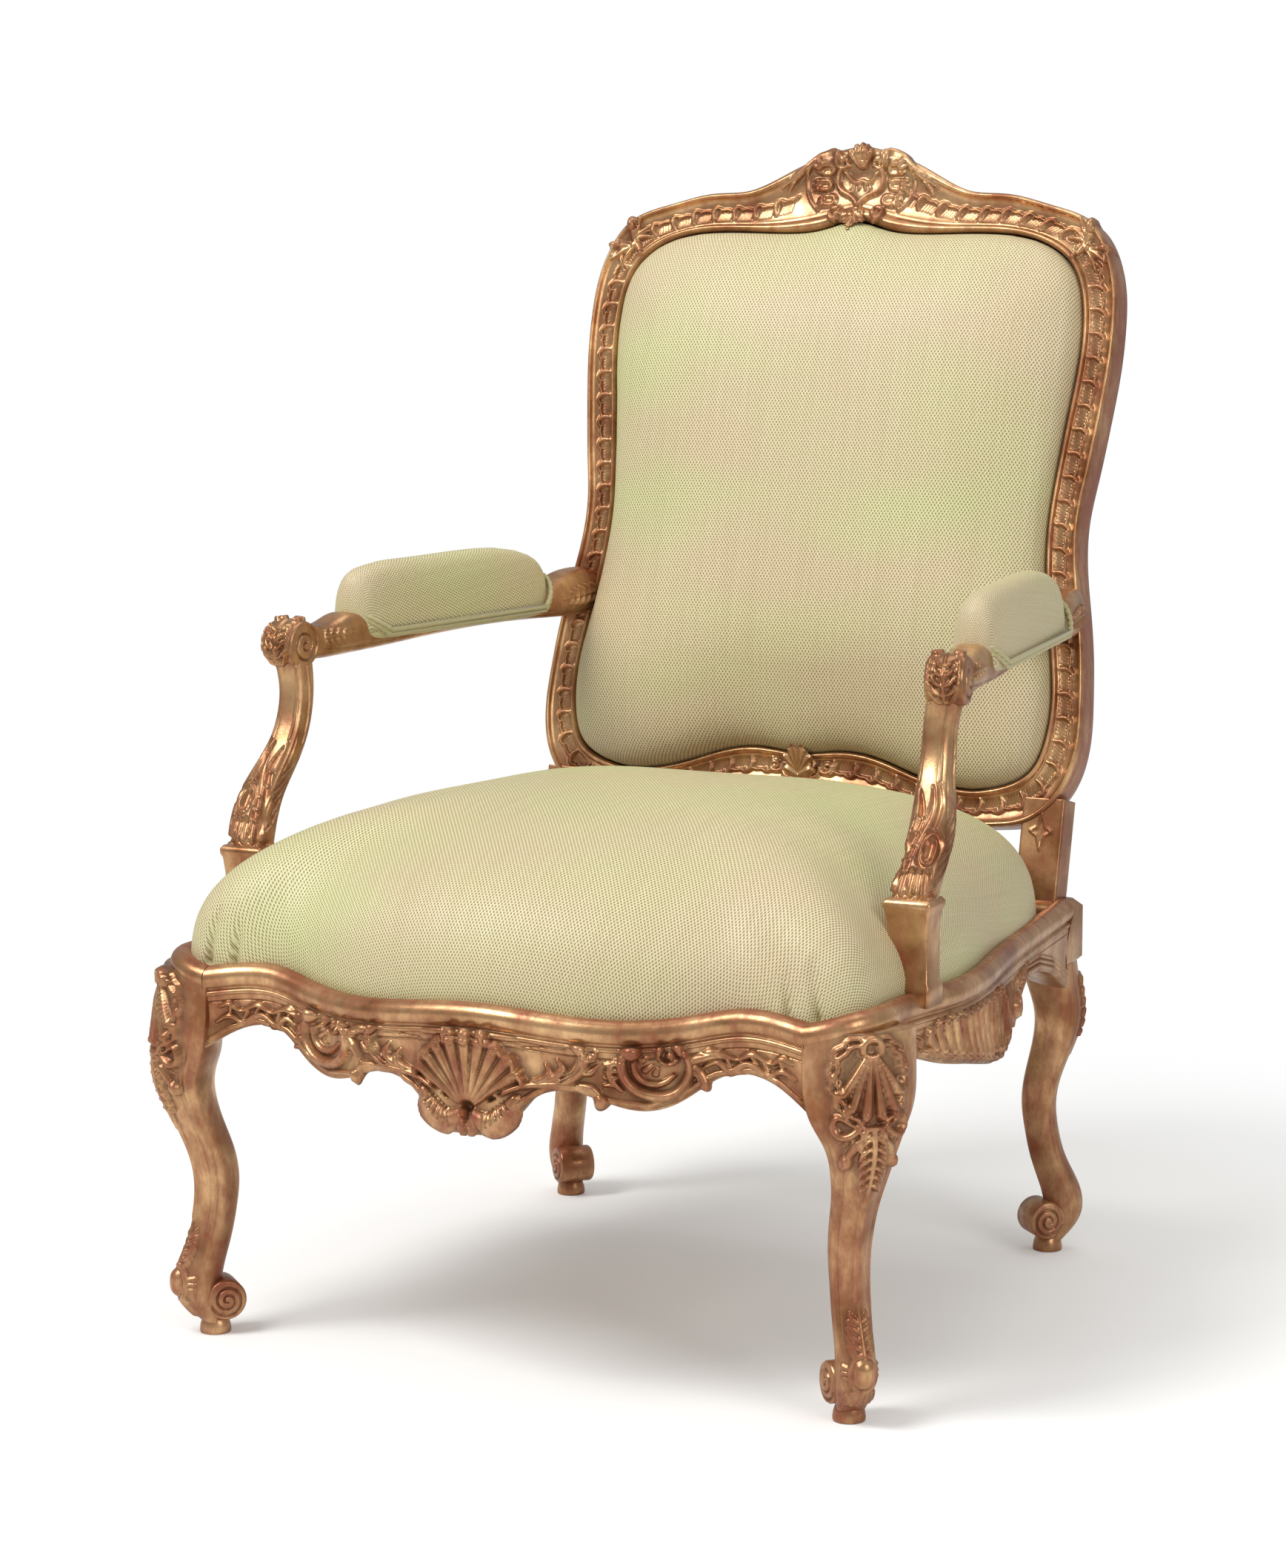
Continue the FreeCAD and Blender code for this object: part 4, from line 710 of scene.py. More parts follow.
def rocaille(first, last, period=22.5):
    """Carving of the hollow: curled ribs, a scalloped edge between them and fine flutes below it."""
    strokes = []
    for k in range(int(first // period), int(last // period) + 1):
        s = k * period
        curl = [(s - 2, -9.5), (s - 2.5, -4), (s - 0.5, 1.5), (s + 3, 4.5), (s + 6.5, 3), (s + 6, 0.5)]
        strokes.append((curl, [1.4, 2.4, 2.8, 2.4, 1.6, 1.0], [2.5, 4.2, 4.8, 4.4, 3.5, 2.5]))
        strokes.append(([(s + 6, 4), (s + 10, 2), (s + 14, 2.6), (s + 18, 1.2), (s + 22.5, 4)], 1.5, 3.2))
        for j in range(5):
            strokes.append(([(s + 0.5 + 3.2 * j, -9), (s + 5.5 + 3.0 * j, -0.5)], 0.9, -1.2))
    return strokes


crown = [([(0, 1019), (0, 1008)], [15, 10], -3)]
for k in range(-2, 3):
    crown.append(([(1.5 * k, 1030), (5.4 * k, 1048 - 1.2 * k * k)], [1.8, 3.2], [4.5, 5.5]))
# On each side of the cartouche: its rim, three cupped petals, a trailing leaf, and leaves at the corner
# of the frame.
beside_crown = [
    ([(22, 1042), (34, 1043), (46, 1037), (58, 1028), (72, 1018), (84, 1009)],
     [2.4, 2.6, 2.4, 2.2, 2.0, 1.2], [5.5, 5, 4.5, 4, 3.5, 2]),
    ([(12, 1032), (21, 1028), (24, 1017), (19, 1007), (8, 1001), (1, 993)],
     [1.8, 2.4, 2.6, 2.6, 2.4, 2.0], [5, 6, 6.5, 6.5, 6, 6]),
    ([(0, 1018), (7, 1016), (14, 1022), (18, 1026)], [1.6, 2.0, 1.8, 1.2], [4, 4.5, 4.5, 4]),
    ([(3, 1014), (4, 1010)], [1.4, 1.0], [4, 3]),
    ([(9, 1013), (11, 1008)], [1.4, 1.0], [4, 3]),
    ([(47, 1035), (55, 1026), (57, 1013), (52, 998), (42, 987)], [1.2, 1.6, 1.6, 1.6, 1.2], 3.2),
    ([(229, 944), (236, 953), (243, 968), (243, 984)], [2.4, 4.0, 4.4, 2.0], [4, 5.5, 5.5, 3]),
    ([(240, 953), (241, 954)], 4.6, 6),
]
for u, z, tilt in ((37, 1028, 2.5), (39, 1013, 0), (33, 998, -3)):
    beside_crown.append(([(u - 3, z), (u + 2, z + 0.2 * tilt)], 7.2, 5.5))
    beside_crown.append(([(u - 3, z), (u + 1, z)], 4.0, -4))
    for j in (-1, 0, 1):
        lobe = [(u + 7 - abs(j), z + 4.2 * j + 0.4 * tilt), (u + 11.5 - 1.5 * abs(j), z + 4.6 * j + tilt)]
        beside_crown.append((lobe, [2.4, 1.6], [5.5, 3.5]))
# Leaves that spread from one root: root, bow of the leaf, half widths, heights and tips.
FANS = (
    ((60, 1024), (2, 2), [1.8, 3.0, 1.2], [3.5, 4.5, 2.5], ((66, 1016), (72, 1009), (77, 1003))),
    ((240, 952), (1, 1.5), [2.4, 4.0, 1.6], [4, 5, 3], ((269, 951), (263, 940), (251, 933))),
    ((241, 958), (0, 2), [2.4, 3.6, 1.4], [4, 5, 2.5], ((222, 962), (226, 972), (234, 980))),
)
for root, bow, half, high, tips in FANS:
    for tip in tips:
        middle = tuple((r + t) / 2 + b for r, t, b in zip(root, tip, bow))
        beside_crown.append(([root, middle, tip], half, high))
for hand in (-1, 1):
    volute = spiral((hand * 19, 1035), 7.5, 60 if hand > 0 else 120, 1.3, -hand)
    crown.append((volute, [2.8, 2.2], [6.5, 5.5]))
    crown.append((spiral((hand * 21, 985), 7.5, 270, 1.2, hand), [2.8, 2.0], [5.5, 4.5]))
    crown += placed(beside_crown, hand)
crest = frame_part(-8, 8, 1.25, crown, rocaille(-420, -80) + rocaille(60, 420))


def boss(outline, middle, lean, high, strokes):
    """A carved boss: a smooth domed outline on the back's plane, leaning from its foot to its top."""
    ring = smooth_line(list(outline) + [outline[0]], 121)[:-1]
    share = np.linspace(1, 0.02, 40)[:, None]
    u = middle[0] + (ring[None, :, 0] - middle[0]) * share
    z = middle[1] + (ring[None, :, 1] - middle[1]) * share
    w = np.interp(z, (ring[:, 1].min(), ring[:, 1].max()), lean) + high * np.clip(1 - share ** 4, 0, 1) ** 0.5
    return skin(on_back(u, z, w), relief(u, z, strokes), around=True)


# A flower of five petals hangs from the middle, over the edge of the cushion.
FLOWER = ((0, 993), (8, 990), (11, 984), (14, 978), (9, 971), (4, 969), (0, 963), (-4, 969), (-9, 971),
          (-14, 978), (-11, 984), (-8, 990))
petals = []
for t in np.radians((-90, -45, -135, 0, 180)):
    petals.append(([(0, 984), (12 * math.cos(t), 981 + 15 * math.sin(t))], [2.0, 4.2], [2.5, 3.5]))
petals.append(([(0, 985), (0, 986)], 4.0, 5))
piece("carved_crest_rail", [crest, boss(FLOWER, (0, 980), (19, -4), 6, petals)], gilding, "crest_rail")

shell = []
for hand in (-1, 1):
    shell.append((spiral((hand * 27, 455), 7.5, 180 if hand > 0 else 0, 1.2, hand), [2.6, 2.0], [5, 4]))
    shell.append(([(hand * 19, 455), (hand * 17, 446), (hand * 8, 440)], [2.4, 2.4, 1.6], [4.5, 4.5, 3.5]))
fan = []
for k in range(-3, 4):
    turn = math.radians(90 + 24 * k)
    fan.append(([(0, 447), (15 * math.cos(turn), 450 + 22 * math.sin(turn))], [1.4, 3.6], [2, 3.5]))
fan_edge = []
for a in np.linspace(0, 2 * np.pi, 40, endpoint=False):
    scallop = 1 - 0.05 * math.cos(9 * a)
    reach = 23 if math.cos(a) > 0 else 12
    fan_edge.append((17 * math.sin(a) * scallop, 452 + reach * math.cos(a) * scallop))
lower = [
    frame_part(20, 29, 1.25, shell, rocaille(700, 1400)),
    frame_part(-29, -20, 1.25, shell, rocaille(-1400, -700)),
    boss(fan_edge, (0, 450), (-6, 14), 7, fan),
]
piece("carved_lower_back_rail", lower, gilding, "lower_back_rail")

# Rear legs: each is one piece of beech from the floor to the crest: a plain cabriole leg, a square cheek
# for the seat rails, a post above the seat and the stile of the back frame.
REAR_LEG = ((10, 5, 7, 12, 2.0), (26, 13, 16, 16, 1.8), (44, 16, 19.5, 17.5, 1.7), (62, 12, 20, 17, 1.6),
            (90, 0, 18, 16, 1.6), (120, -8, 17, 16, 1.6), (148, -11, 17.5, 17, 1.6),
            (175, -6, 19, 18.5, 1.6), (202, 3, 21.5, 20.5, 1.6), (230, 8, 24, 23, 1.6),
            (258, 3, 26.5, 25, 1.6), (285, -4, 29, 27.5, 1.6), (341, -9, 29, 28, 1.6))


def block(low, high, round_edge=2.5, step=6):
    """A squared block with softened edges, between two corners."""
    low, high = np.array(low, float), np.array(high, float)
    rows = []
    ends = ((low[2], round_edge), (low[2] + round_edge, 0), (high[2] - round_edge, 0), (high[2], round_edge))
    for z, inset in ends:
        ring = []
        for sx, sy, turn in ((1, 1, 0), (-1, 1, 90), (-1, -1, 180), (1, -1, 270)):
            cx = (high[0] if sx > 0 else low[0]) - sx * (round_edge + inset)
            cy = (high[1] if sy > 0 else low[1]) - sy * (round_edge + inset)
            for a in np.radians(np.linspace(turn, turn + 90, step)):
                ring.append((cx + round_edge * math.cos(a), cy + round_edge * math.sin(a), z))
        rows.append(ring)
    return np.array(rows)


rear_knee = leaf_strokes((0, 268), (0, 190), 14, 6, 4.0)
rear_leg = leg_parts(REAR_LEG, (257, 299), 45, rear_knee)
rear_leg.append(skin(block((237, 238, 284), (291, 296, 346), 7, 9), around=True, caps=True))
POST = ((290, 253, -17, 21, 16), (365, 253, -17, 21, 16), (440, 253, -17, 21, 16))


def tube(table, place_of, around=72, power=3.0, step=1.5):
    """Rows of rounded rectangles from a table of position, two middles and two half sizes."""
    table = np.array(sorted(table), float)
    t = np.arange(table[0, 0], table[-1, 0] + 0.5 * step, step)
    rows = spline(table[:, 0], table[:, 1:], t)
    turn = np.linspace(0, 2 * np.pi, 4001)
    c = np.sign(np.cos(turn)) * np.abs(np.cos(turn)) ** (2 / power)
    s = np.sign(np.sin(turn)) * np.abs(np.sin(turn)) ** (2 / power)
    gone = np.concatenate([[0], np.cumsum(np.hypot(np.diff(c), np.diff(s)))])
    even = np.linspace(0, gone[-1], around, endpoint=False)
    return place_of(t[:, None], rows, np.interp(even, gone, c)[None], np.interp(even, gone, s)[None])


def post_place(z, rows, c, s):
    """Puts the rows of a post on the plane of the back."""
    return on_back(rows[:, :1] + rows[:, 2:3] * c, z, rows[:, 1:2] + rows[:, 3:4] * s)


post = tube(POST, post_place, around=160, power=14, step=1.25)
# A four-pointed star is cut into the front of the post.
STAR = ((0, 17), (3.8, 4), (11, 0), (3.8, -4), (0, -17), (-3.8, -4), (-11, 0), (-3.8, 4), (0, 17))
star = [([(253 + a, 409 + b), (253 + c, 409 + d)], 1.2, -1.3) for (a, b), (c, d) in zip(STAR, STAR[1:])]
ahead = post[:, :, 1] < post[:, :, 1].mean(1, keepdims=True)
star = np.where(ahead, relief(post[:, :, 0], post[:, :, 2], star), 0)
rear_leg.append(skin(post, star, around=True, caps=True))
rear_leg.append(frame_part(8, 20, 1.25, [], rocaille(290, 1000)))
piece("carved_rear_leg_right", rear_leg, gilding, "rear_leg_right")
piece("carved_rear_leg_left", mirrored(rear_leg), gilding, "rear_leg_left")

# Arms: beech, swept out from the stiles and dropping to a carved scroll over each support.
# Each is tenoned and pegged into the stile and seated on the support's head.
# Rows of an arm: place from front to back, middle, half width, underside and top.
ARM = ((330, 256.3, 17.5, 588, 635), (285, 262.6, 18, 589, 632), (255, 266.9, 18.5, 590, 622),
       (215, 272.5, 19, 591.5, 616), (120, 285.8, 20, 592, 616), (20, 299.9, 20, 588, 614),
       (-36, 307.8, 18.5, 585, 617), (-60, 311.1, 17.5, 584, 622), (-88, 315.1, 16.5, 583, 615),
       (-126, 320.4, 16, 583, 619))


def arm_place(y, rows, c, s):
    """Puts the rows of an arm along the seat."""
    x = rows[:, :1] + rows[:, 1:2] * c
    z = (rows[:, 2:3] + rows[:, 3:4]) / 2 + (rows[:, 3:4] - rows[:, 2:3]) / 2 * s
    return np.stack(np.broadcast_arrays(x, y, z), axis=-1)


arm_grid = tube(ARM, arm_place, around=110, step=1.2)
arm_leaf = leaf_strokes((322, 612), (262, 607), 13, 5, 3.2)
arm_leaf += leaf_strokes((-104, 603), (-60, 604), 9, 4, 2.6)
arm_leaf.append(([(250, 597), (120, 597), (0, 593), (-70, 590), (-104, 592)], 1.0, -1.4))
arm_carving = relief(arm_grid[:, :, 1], arm_grid[:, :, 2], arm_leaf)
scroll_way = np.array((math.cos(math.radians(9)), math.sin(math.radians(9)), 0))
scroll_face = [(spiral((0, 0), 18, 60, 1.9, -1, 0.9), [1.6, 1.2], -2.6)]
# Over the scroll's rim, measured from its back: a leaf from the support up to the pad, with two roundels.
scroll_leaf = leaf_strokes((92, 0), (40, 0), 13, 5, 4.0)
for hand in (-1, 1):
    scroll_leaf.append((spiral((36, hand * 9), 6.5, 0, 1.3, hand), [2.2, 1.6], [4, 3]))
    edge = [(92, hand * 4), (80, hand * 11), (64, hand * 14), (50, hand * 12)]
    scroll_leaf.append((edge, [1.6, 2.8, 2.8, 1.4], [3, 4, 4, 2.5]))
    for k in range(5):
        scroll_leaf.append(([(84 - 8 * k, hand * 6), (78 - 8 * k, hand * 13)], 0.8, -1.6))
scroll_disc = disc_profile(20.5, 17, 3, 2.5, 30)
arm = [
    skin(arm_grid, arm_carving, around=True, caps=True, flip=True),
    wheel((321.5, -131, 599), scroll_way, scroll_disc, scroll_face, scroll_leaf, 150),
]
piece("carved_arm_right", arm, gilding, "arm_right")
piece("carved_arm_left", mirrored(arm), gilding, "arm_left")

# Arm supports: beech consoles that lean forward from the arm's scroll to a square moulded plinth on the rail.
# The lower half is carved with rocaille round an oval cabochon; the foot is tenoned into the side rail.
SUPPORT = ((424, -205, 16, 321.7, 20), (445, -196, 17.5, 323.5, 20), (467, -180, 18.5, 325, 19),
           (488, -163, 18, 322, 17.5), (513, -146, 16, 317, 15), (538, -136, 14.5, 315, 14),
           (562, -132, 14.5, 315.5, 14), (584, -131, 16, 319, 15))


def support_place(z, rows, c, s):
    """Puts the rows of a support upright."""
    x = rows[:, 2:3] + rows[:, 3:4] * s
    y = rows[:, :1] + rows[:, 1:2] * c
    return np.stack(np.broadcast_arrays(x, y, z), axis=-1)


console = tube(SUPPORT, support_place, around=120, step=1.2)
front_side = console[:, :, 1] < console[:, :, 1].mean(1, keepdims=True)
middle_x = console[:, :, 0].mean(1, keepdims=True)
oval = [(7 + 9 * math.cos(t), 466 + 13 * math.sin(t)) for t in np.linspace(0, 2 * np.pi, 21)]
crest_line = [(-19, 426), (-14, 430), (-9, 426), (-4, 430), (1, 426), (6, 430), (11, 426), (19, 430)]
strokes = [
    ([(7, 462), (7, 470)], 6.0, 7),
    (oval, 1.8, 5),
    ([(-14, 430), (-17, 452), (-11, 474), (-4, 492), (-7, 508)],
     [2.4, 3.2, 3.4, 3.0, 1.4], [3.5, 5, 5.5, 5, 2.5]),
    ([(-4, 432), (-8, 450), (-3, 478), (5, 496), (4, 512)],
     [2.2, 3.2, 3.2, 3.0, 1.4], [3.5, 5, 5, 4.5, 2.5]),
    ([(8, 484), (11, 498), (9, 514)], [2.4, 3.0, 1.4], [4, 4.5, 2.5]),
    (crest_line, 2.4, 5),
    ([(9, 580), (8, 545), (9, 515)], 1.2, -1.6),
    ([(-9, 580), (-8, 545), (-9, 515)], 1.2, -1.6),
]
for k in range(5):
    strokes.append(([(-15 + k, 444 + 11 * k), (-7 + k, 450 + 10 * k)], 0.9, -2.0))
    strokes.append(([(-16 + 8 * k, 427), (-14 + 6.5 * k, 447)], [2.6, 3.4], [3.5, 5]))
raised = np.where(front_side, relief(console[:, :, 0] - middle_x, console[:, :, 2], strokes, 1.15), 0)
flank = [
    ([(-13, 430), (-15, 470), (-10, 505), (-12, 530)], [2, 2.6, 2.4, 1.2], [3, 4, 3.5, 2]),
    ([(-2, 580), (0, 545), (2, 510)], 1.4, -1.8),
]
for k in range(5):
    flank.append(([(-15, 436 + 11 * k), (0, 446 + 11 * k), (13, 462 + 10 * k)], [1.8, 3.0, 1.6], [2.5, 4, 2]))
middle_y = console[:, :, 1].mean(1, keepdims=True)
on_flank = relief(console[:, :, 1] - middle_y, console[:, :, 2], flank)
from_middle = np.abs(console[:, :, 0] - middle_x)
clear = np.clip((from_middle / from_middle.max(1, keepdims=True) - 0.9) / 0.08, 0, 1)
raised = np.where(np.abs(raised) > 0.4, raised, on_flank * clear)
plinth_rows = []
for z, grow in ((335, 0), (352, 0), (356, -2), (400, -2.2), (414, -0.6), (418, 1.2), (422, 1.2), (425, -1)):
    ring = block((322 - 20.5 - grow, -205 - 17 - grow, z), (322 + 20.5 + grow, -205 + 17 + grow, z + 6))[1]
    ring[:, 2] = z
    plinth_rows.append(ring)
support = [skin(console, raised, around=True, caps=True), skin(np.array(plinth_rows), around=True, caps=True)]
piece("carved_arm_support_right", support, gilding, "arm_support_right")
piece("carved_arm_support_left", mirrored(support), gilding, "arm_support_left")

# Seat cushion: stuffed over webbing and drawn down under a woven silk cover that is tacked behind the lip.
# The cover is one closed mesh, filled by pressure in a cloth simulation, with pleats at the front corners.

# Woven silk: pale green and tan threads over a brown ground that shows between them in staggered dots.
# The eye sees a finely dotted, softly gleaming cloth, greener in some places and tanner in others.
silk = new_material("woven_silk_pale_green")
threads = add_node(silk, "Attribute", {}, attribute_name="threads").outputs["Vector"]
# Between the floats the ground shows as dots: 3.4 mm apart along a row, rows 2.6 mm apart and staggered.
# A square net turned by 45 degrees gives the stagger; the coordinates are in millimetres.
net_turn = (0, 0, math.radians(45))
net_scale = (math.sqrt(2) / 3.4, math.sqrt(2) / (2 * 2.6), 1)
turned = add_node(silk, "Mapping", {"Vector": threads, "Rotation": net_turn, "Scale": net_scale})
net = add_node(
    silk, "TexVoronoi", {"Vector": turned.outputs[0], "Scale": 1.0, "Randomness": 0.06},
    voronoi_dimensions="2D",
)
floats = add_node(
    silk, "MapRange",
    {"Value": net.outputs["Distance"], "From Min": 0.16, "From Max": 0.42, "To Min": 0.95, "To Max": 0.0},
)
# The green warp shows in some places and the tan weft in others, in bands about 250 mm long and 110 mm high.
place = add_node(silk, "TexCoord", {}).outputs["Object"]
banded = add_node(silk, "Mapping", {"Vector": place, "Scale": (1.0, 1.0, 2.2)})
shot = add_node(silk, "TexNoise", {"Vector": banded.outputs[0], "Scale": 1 / 0.250, "Detail": 2.0})
shot_share = add_node(silk, "MapRange", {"Value": shot.outputs["Fac"], "From Min": 0.29, "From Max": 0.57})
thread = add_node(
    silk, "MixRGB",
    {"Fac": shot_share.outputs["Result"], "Color1": linear("#D7DAA6"), "Color2": linear("#DDCDAC")},
)
# Thicker warp threads run upright as faint streaks 4 mm wide and 200 mm long.
drawn = add_node(silk, "Mapping", {"Vector": threads, "Scale": (1 / 4, 1 / 200, 1.0)})
slub = add_node(silk, "TexNoise", {"Vector": drawn.outputs[0], "Scale": 1.0, "Detail": 2.0})
streak = add_node(
    silk, "MixRGB", {"Fac": slub.outputs["Fac"], "Color1": linear("#FFFFFF"), "Color2": linear("#E6E1CF")},
)
streaked = add_node(
    silk, "MixRGB", {"Fac": 0.7, "Color1": thread.outputs[0], "Color2": streak.outputs[0]},
    blend_type="MULTIPLY",
)
cloth = add_node(
    silk, "MixRGB",
    {"Fac": floats.outputs["Result"], "Color1": streaked.outputs[0], "Color2": linear("#7D6C3C")},
)
rise = add_node(
    silk, "Bump", {"Height": floats.outputs["Result"], "Strength": 0.6, "Distance": 0.0005}, invert=True,
)
gleam = add_node(silk, "MapRange", {"Value": slub.outputs["Fac"], "To Min": 0.36, "To Max": 0.54})
sheen = add_node(
    silk, "BsdfPrincipled",
    {"Base Color": cloth.outputs[0], "Roughness": gleam.outputs["Result"], "Specular IOR Level": 0.5,
     "Sheen Weight": 0.3, "Sheen Roughness": 0.35, "Sheen Tint": linear("#E2E8B4"),
     "Normal": rise.outputs["Normal"]},
)
add_node(silk, "OutputMaterial", {"Surface": sheen.outputs[0]})


def stuffed(obj, held, most):
    """Fills a cover with pressure: even cells of 5 mm, tacked below a plane, swell by at most so many mm."""
    even = obj.modifiers.new("even_mesh", "REMESH")
    even.mode, even.voxel_size = "VOXEL", 0.005
    relaxed = obj.modifiers.new("relaxed", "SMOOTH")
    relaxed.factor, relaxed.iterations = 0.5, 10
    mesh = bpy.data.meshes.new_from_object(obj.evaluated_get(bpy.context.evaluated_depsgraph_get()))
    obj.modifiers.clear()
    obj.data = mesh
    before = np.empty(3 * len(mesh.vertices), "f4")
    mesh.vertices.foreach_get("co", before)
    before = before.reshape(-1, 3)
    plane_point, plane_way, level = held
    below = (before * 1000 - PLAN_SHIFT - plane_point) @ np.array(plane_way, float) < level
    tacked = obj.vertex_groups.new(name="tacked")
    tacked.add([int(i) for i in np.flatnonzero(below)], 1.0, "REPLACE")
    cloth = obj.modifiers.new("stuffing", "CLOTH")
    cloth.settings.quality = 4
    cloth.settings.mass = 0.3
    cloth.settings.tension_stiffness = cloth.settings.compression_stiffness = 40
    cloth.settings.bending_stiffness = 8
    cloth.settings.use_pressure = True
    cloth.settings.uniform_pressure_force = 4
    cloth.settings.vertex_group_mass = "tacked"
    cloth.settings.effector_weights.gravity = 0
    cloth.collision_settings.use_collision = False
    last_step = 20
    cloth.point_cache.frame_start, cloth.point_cache.frame_end = 1, last_step
    for step in range(1, last_step + 1):
        bpy.context.scene.frame_set(step)
    after = np.empty(3 * len(mesh.vertices), "f4")
    filled = obj.evaluated_get(bpy.context.evaluated_depsgraph_get())
    filled.data.vertices.foreach_get("co", after)
    obj.modifiers.clear()
    bpy.context.scene.frame_set(1)
    move = after.reshape(-1, 3) - before
    far = np.linalg.norm(move, axis=1, keepdims=True)
    move *= np.minimum(1, most / 1000 / np.maximum(far, 1e-9))
    # A tight cover shows only the broad swelling, so the movement is evened out from cell to cell.
    ends = np.empty(2 * len(mesh.edges), "i4")
    mesh.edges.foreach_get("vertices", ends)
    one, other = ends.reshape(-1, 2).T
    count = np.bincount(ends, minlength=len(before))
    for _ in range(60):
        for axis in range(3):
            near = np.bincount(one, move[other, axis], len(before))
            near += np.bincount(other, move[one, axis], len(before))
            move[:, axis] = 0.5 * move[:, axis] + 0.5 * near / count
    mesh.vertices.foreach_set("co", (before + move).ravel())
    obj.vertex_groups.clear()
    for name in [a.name for a in mesh.attributes if a.name == "tacked"]:
        mesh.attributes.remove(mesh.attributes[name])
    mesh.shade_smooth()


def lay_threads(mesh, warp, weft):
    """Gives each point its place in the cloth, in mm."""
    laid = np.stack([warp, weft, np.zeros_like(warp)], axis=1)
    layer = mesh.attributes.new("threads", "FLOAT_VECTOR", "POINT")
    layer.data.foreach_set("vector", laid.ravel().astype("f4"))


def closed_ring(points, count):
    """A smooth closed line through the points of a ring, from the first round to just before it."""
    points = np.array(points, float)
    ring = smooth_line(np.vstack([points[-3:], points, points[:4]]), count)
    from_first = np.hypot(*(ring - points[0]).T)
    return ring[np.argmin(from_first[:60]):np.argmin(from_first[-80:]) + len(ring) - 80]


def crown_rows(table, high, wide):
    """Even rows over a crown, from a table of how far it has risen and how wide it still is."""
    rise_share, plan_share = np.array(table).T
    arc = np.concatenate([[0], np.cumsum(np.hypot(np.diff(rise_share * high), np.diff(plan_share * wide)))])
    return spline(arc / arc[-1], np.array(table), np.linspace(0, 1, 70))


def cushion(name, grid, thread_axes, held, most, nodes, seams=(), crowned=True):
    """A stuffed cover over rows of rings in mm, its threads laid along two axes and its pleats drawn in."""
    points, faces, _, _ = skin(grid, around=True, caps=True)
    mesh = bpy.data.meshes.new(name)
    mesh.from_pydata(((points + PLAN_SHIFT) / 1000).tolist(), [], faces)
    mesh.validate()
    mesh.materials.append(silk)
    obj = bpy.data.objects.new(name, mesh)
    bpy.context.scene.collection.objects.link(obj)
    stuffed(obj, held, most)
    finer = obj.modifiers.new("finer", "SUBSURF")
    finer.levels = finer.render_levels = 1
    mesh = bpy.data.meshes.new_from_object(obj.evaluated_get(bpy.context.evaluated_depsgraph_get()))
    obj.modifiers.clear()
    obj.data = mesh
    mesh.name = name
    co = np.array([v.co for v in mesh.vertices]) * 1000 - PLAN_SHIFT
    normal = np.array([v.normal for v in mesh.vertices])
    for start, end, half, deep in seams:
        start, way = np.array(start, float), np.array(end, float) - np.array(start, float)
        share = np.clip((co - start) @ way / (way @ way), 0, 1)
        away = np.linalg.norm(co - start - share[:, None] * way, axis=1) / half
        co -= normal * (deep * (1 - 0.8 * share) * np.exp(-away ** 2))[:, None]
    mesh.vertices.foreach_set("co", ((co + PLAN_SHIFT) / 1000).ravel())
    first, second, up = (np.array(a, float) for a in thread_axes)
    if crowned:
        # Cloth drawn down from the crown: each ring lies as far from the middle as the cloth is long.
        spread = grid - grid[-1].mean(0)
        rise_of = spread @ up
        reach = np.linalg.norm(spread - rise_of[:, :, None] * up, axis=2).mean(1)
        rise_of = rise_of.mean(1)
        length = np.cumsum(np.hypot(np.diff(rise_of[::-1]), np.diff(reach[::-1])))[::-1]
        length = np.append(length, 0) + reach[-1]
        from_middle = co - grid[-1].mean(0)
        stretch = np.interp(from_middle @ up, rise_of, length / reach)
        warp, weft = (from_middle @ first) * stretch, (from_middle @ second) * stretch
    else:
        drop = (co @ up).max() - co @ up
        warp = co @ first + drop * np.sign(normal @ first) * np.abs(normal @ first)
        weft = co @ second + drop * np.sign(normal @ second) * np.abs(normal @ second)
    lay_threads(mesh, warp, weft)
    mesh.shade_smooth()
    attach(obj, "root")
    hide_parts(*nodes)


SEAT_SHAPE = ((0, 0.994), (0.2, 0.994), (0.42, 0.975), (0.6, 0.925), (0.77, 0.82), (0.91, 0.62),
              (0.985, 0.34), (1.0, 0.08))
SEAT_BASE, SEAT_RISE, SEAT_MIDDLE = 320, 154, -60
half = [(a, b) for a, b, _ in LIP[:-1]] + [(274, 212), (241, 243), (130, 253)]
ring = closed_ring(half + [(-a, b) for a, b in reversed(half[1:])], 520)
shape = crown_rows(SEAT_SHAPE, SEAT_RISE, 320)
seat_grid = np.empty((len(shape), len(ring), 3))
seat_grid[:, :, 0] = ring[None, :, 0] * shape[:, 1:]
seat_grid[:, :, 1] = SEAT_MIDDLE + (ring[None, :, 1] - SEAT_MIDDLE) * shape[:, 1:]
seat_grid[:, :, 2] = SEAT_BASE + SEAT_RISE * shape[:, :1]
pleats = []
for hand in (-1, 1):
    pleats.append(((hand * 262, -334, 340), (hand * 256, -330, 396), 4.0, 9.0))
    pleats.append(((hand * 290, -330, 340), (hand * 282, -326, 388), 4.0, 9.0))
UPRIGHT = ((1, 0, 0), (0, 1, 0), (0, 0, 1))
cushion("seat_cushion", seat_grid, UPRIGHT, ((0, 0, 0), (0, 0, 1), 350), 6,
        ("seat_cover", "seat_stuffing"), pleats)

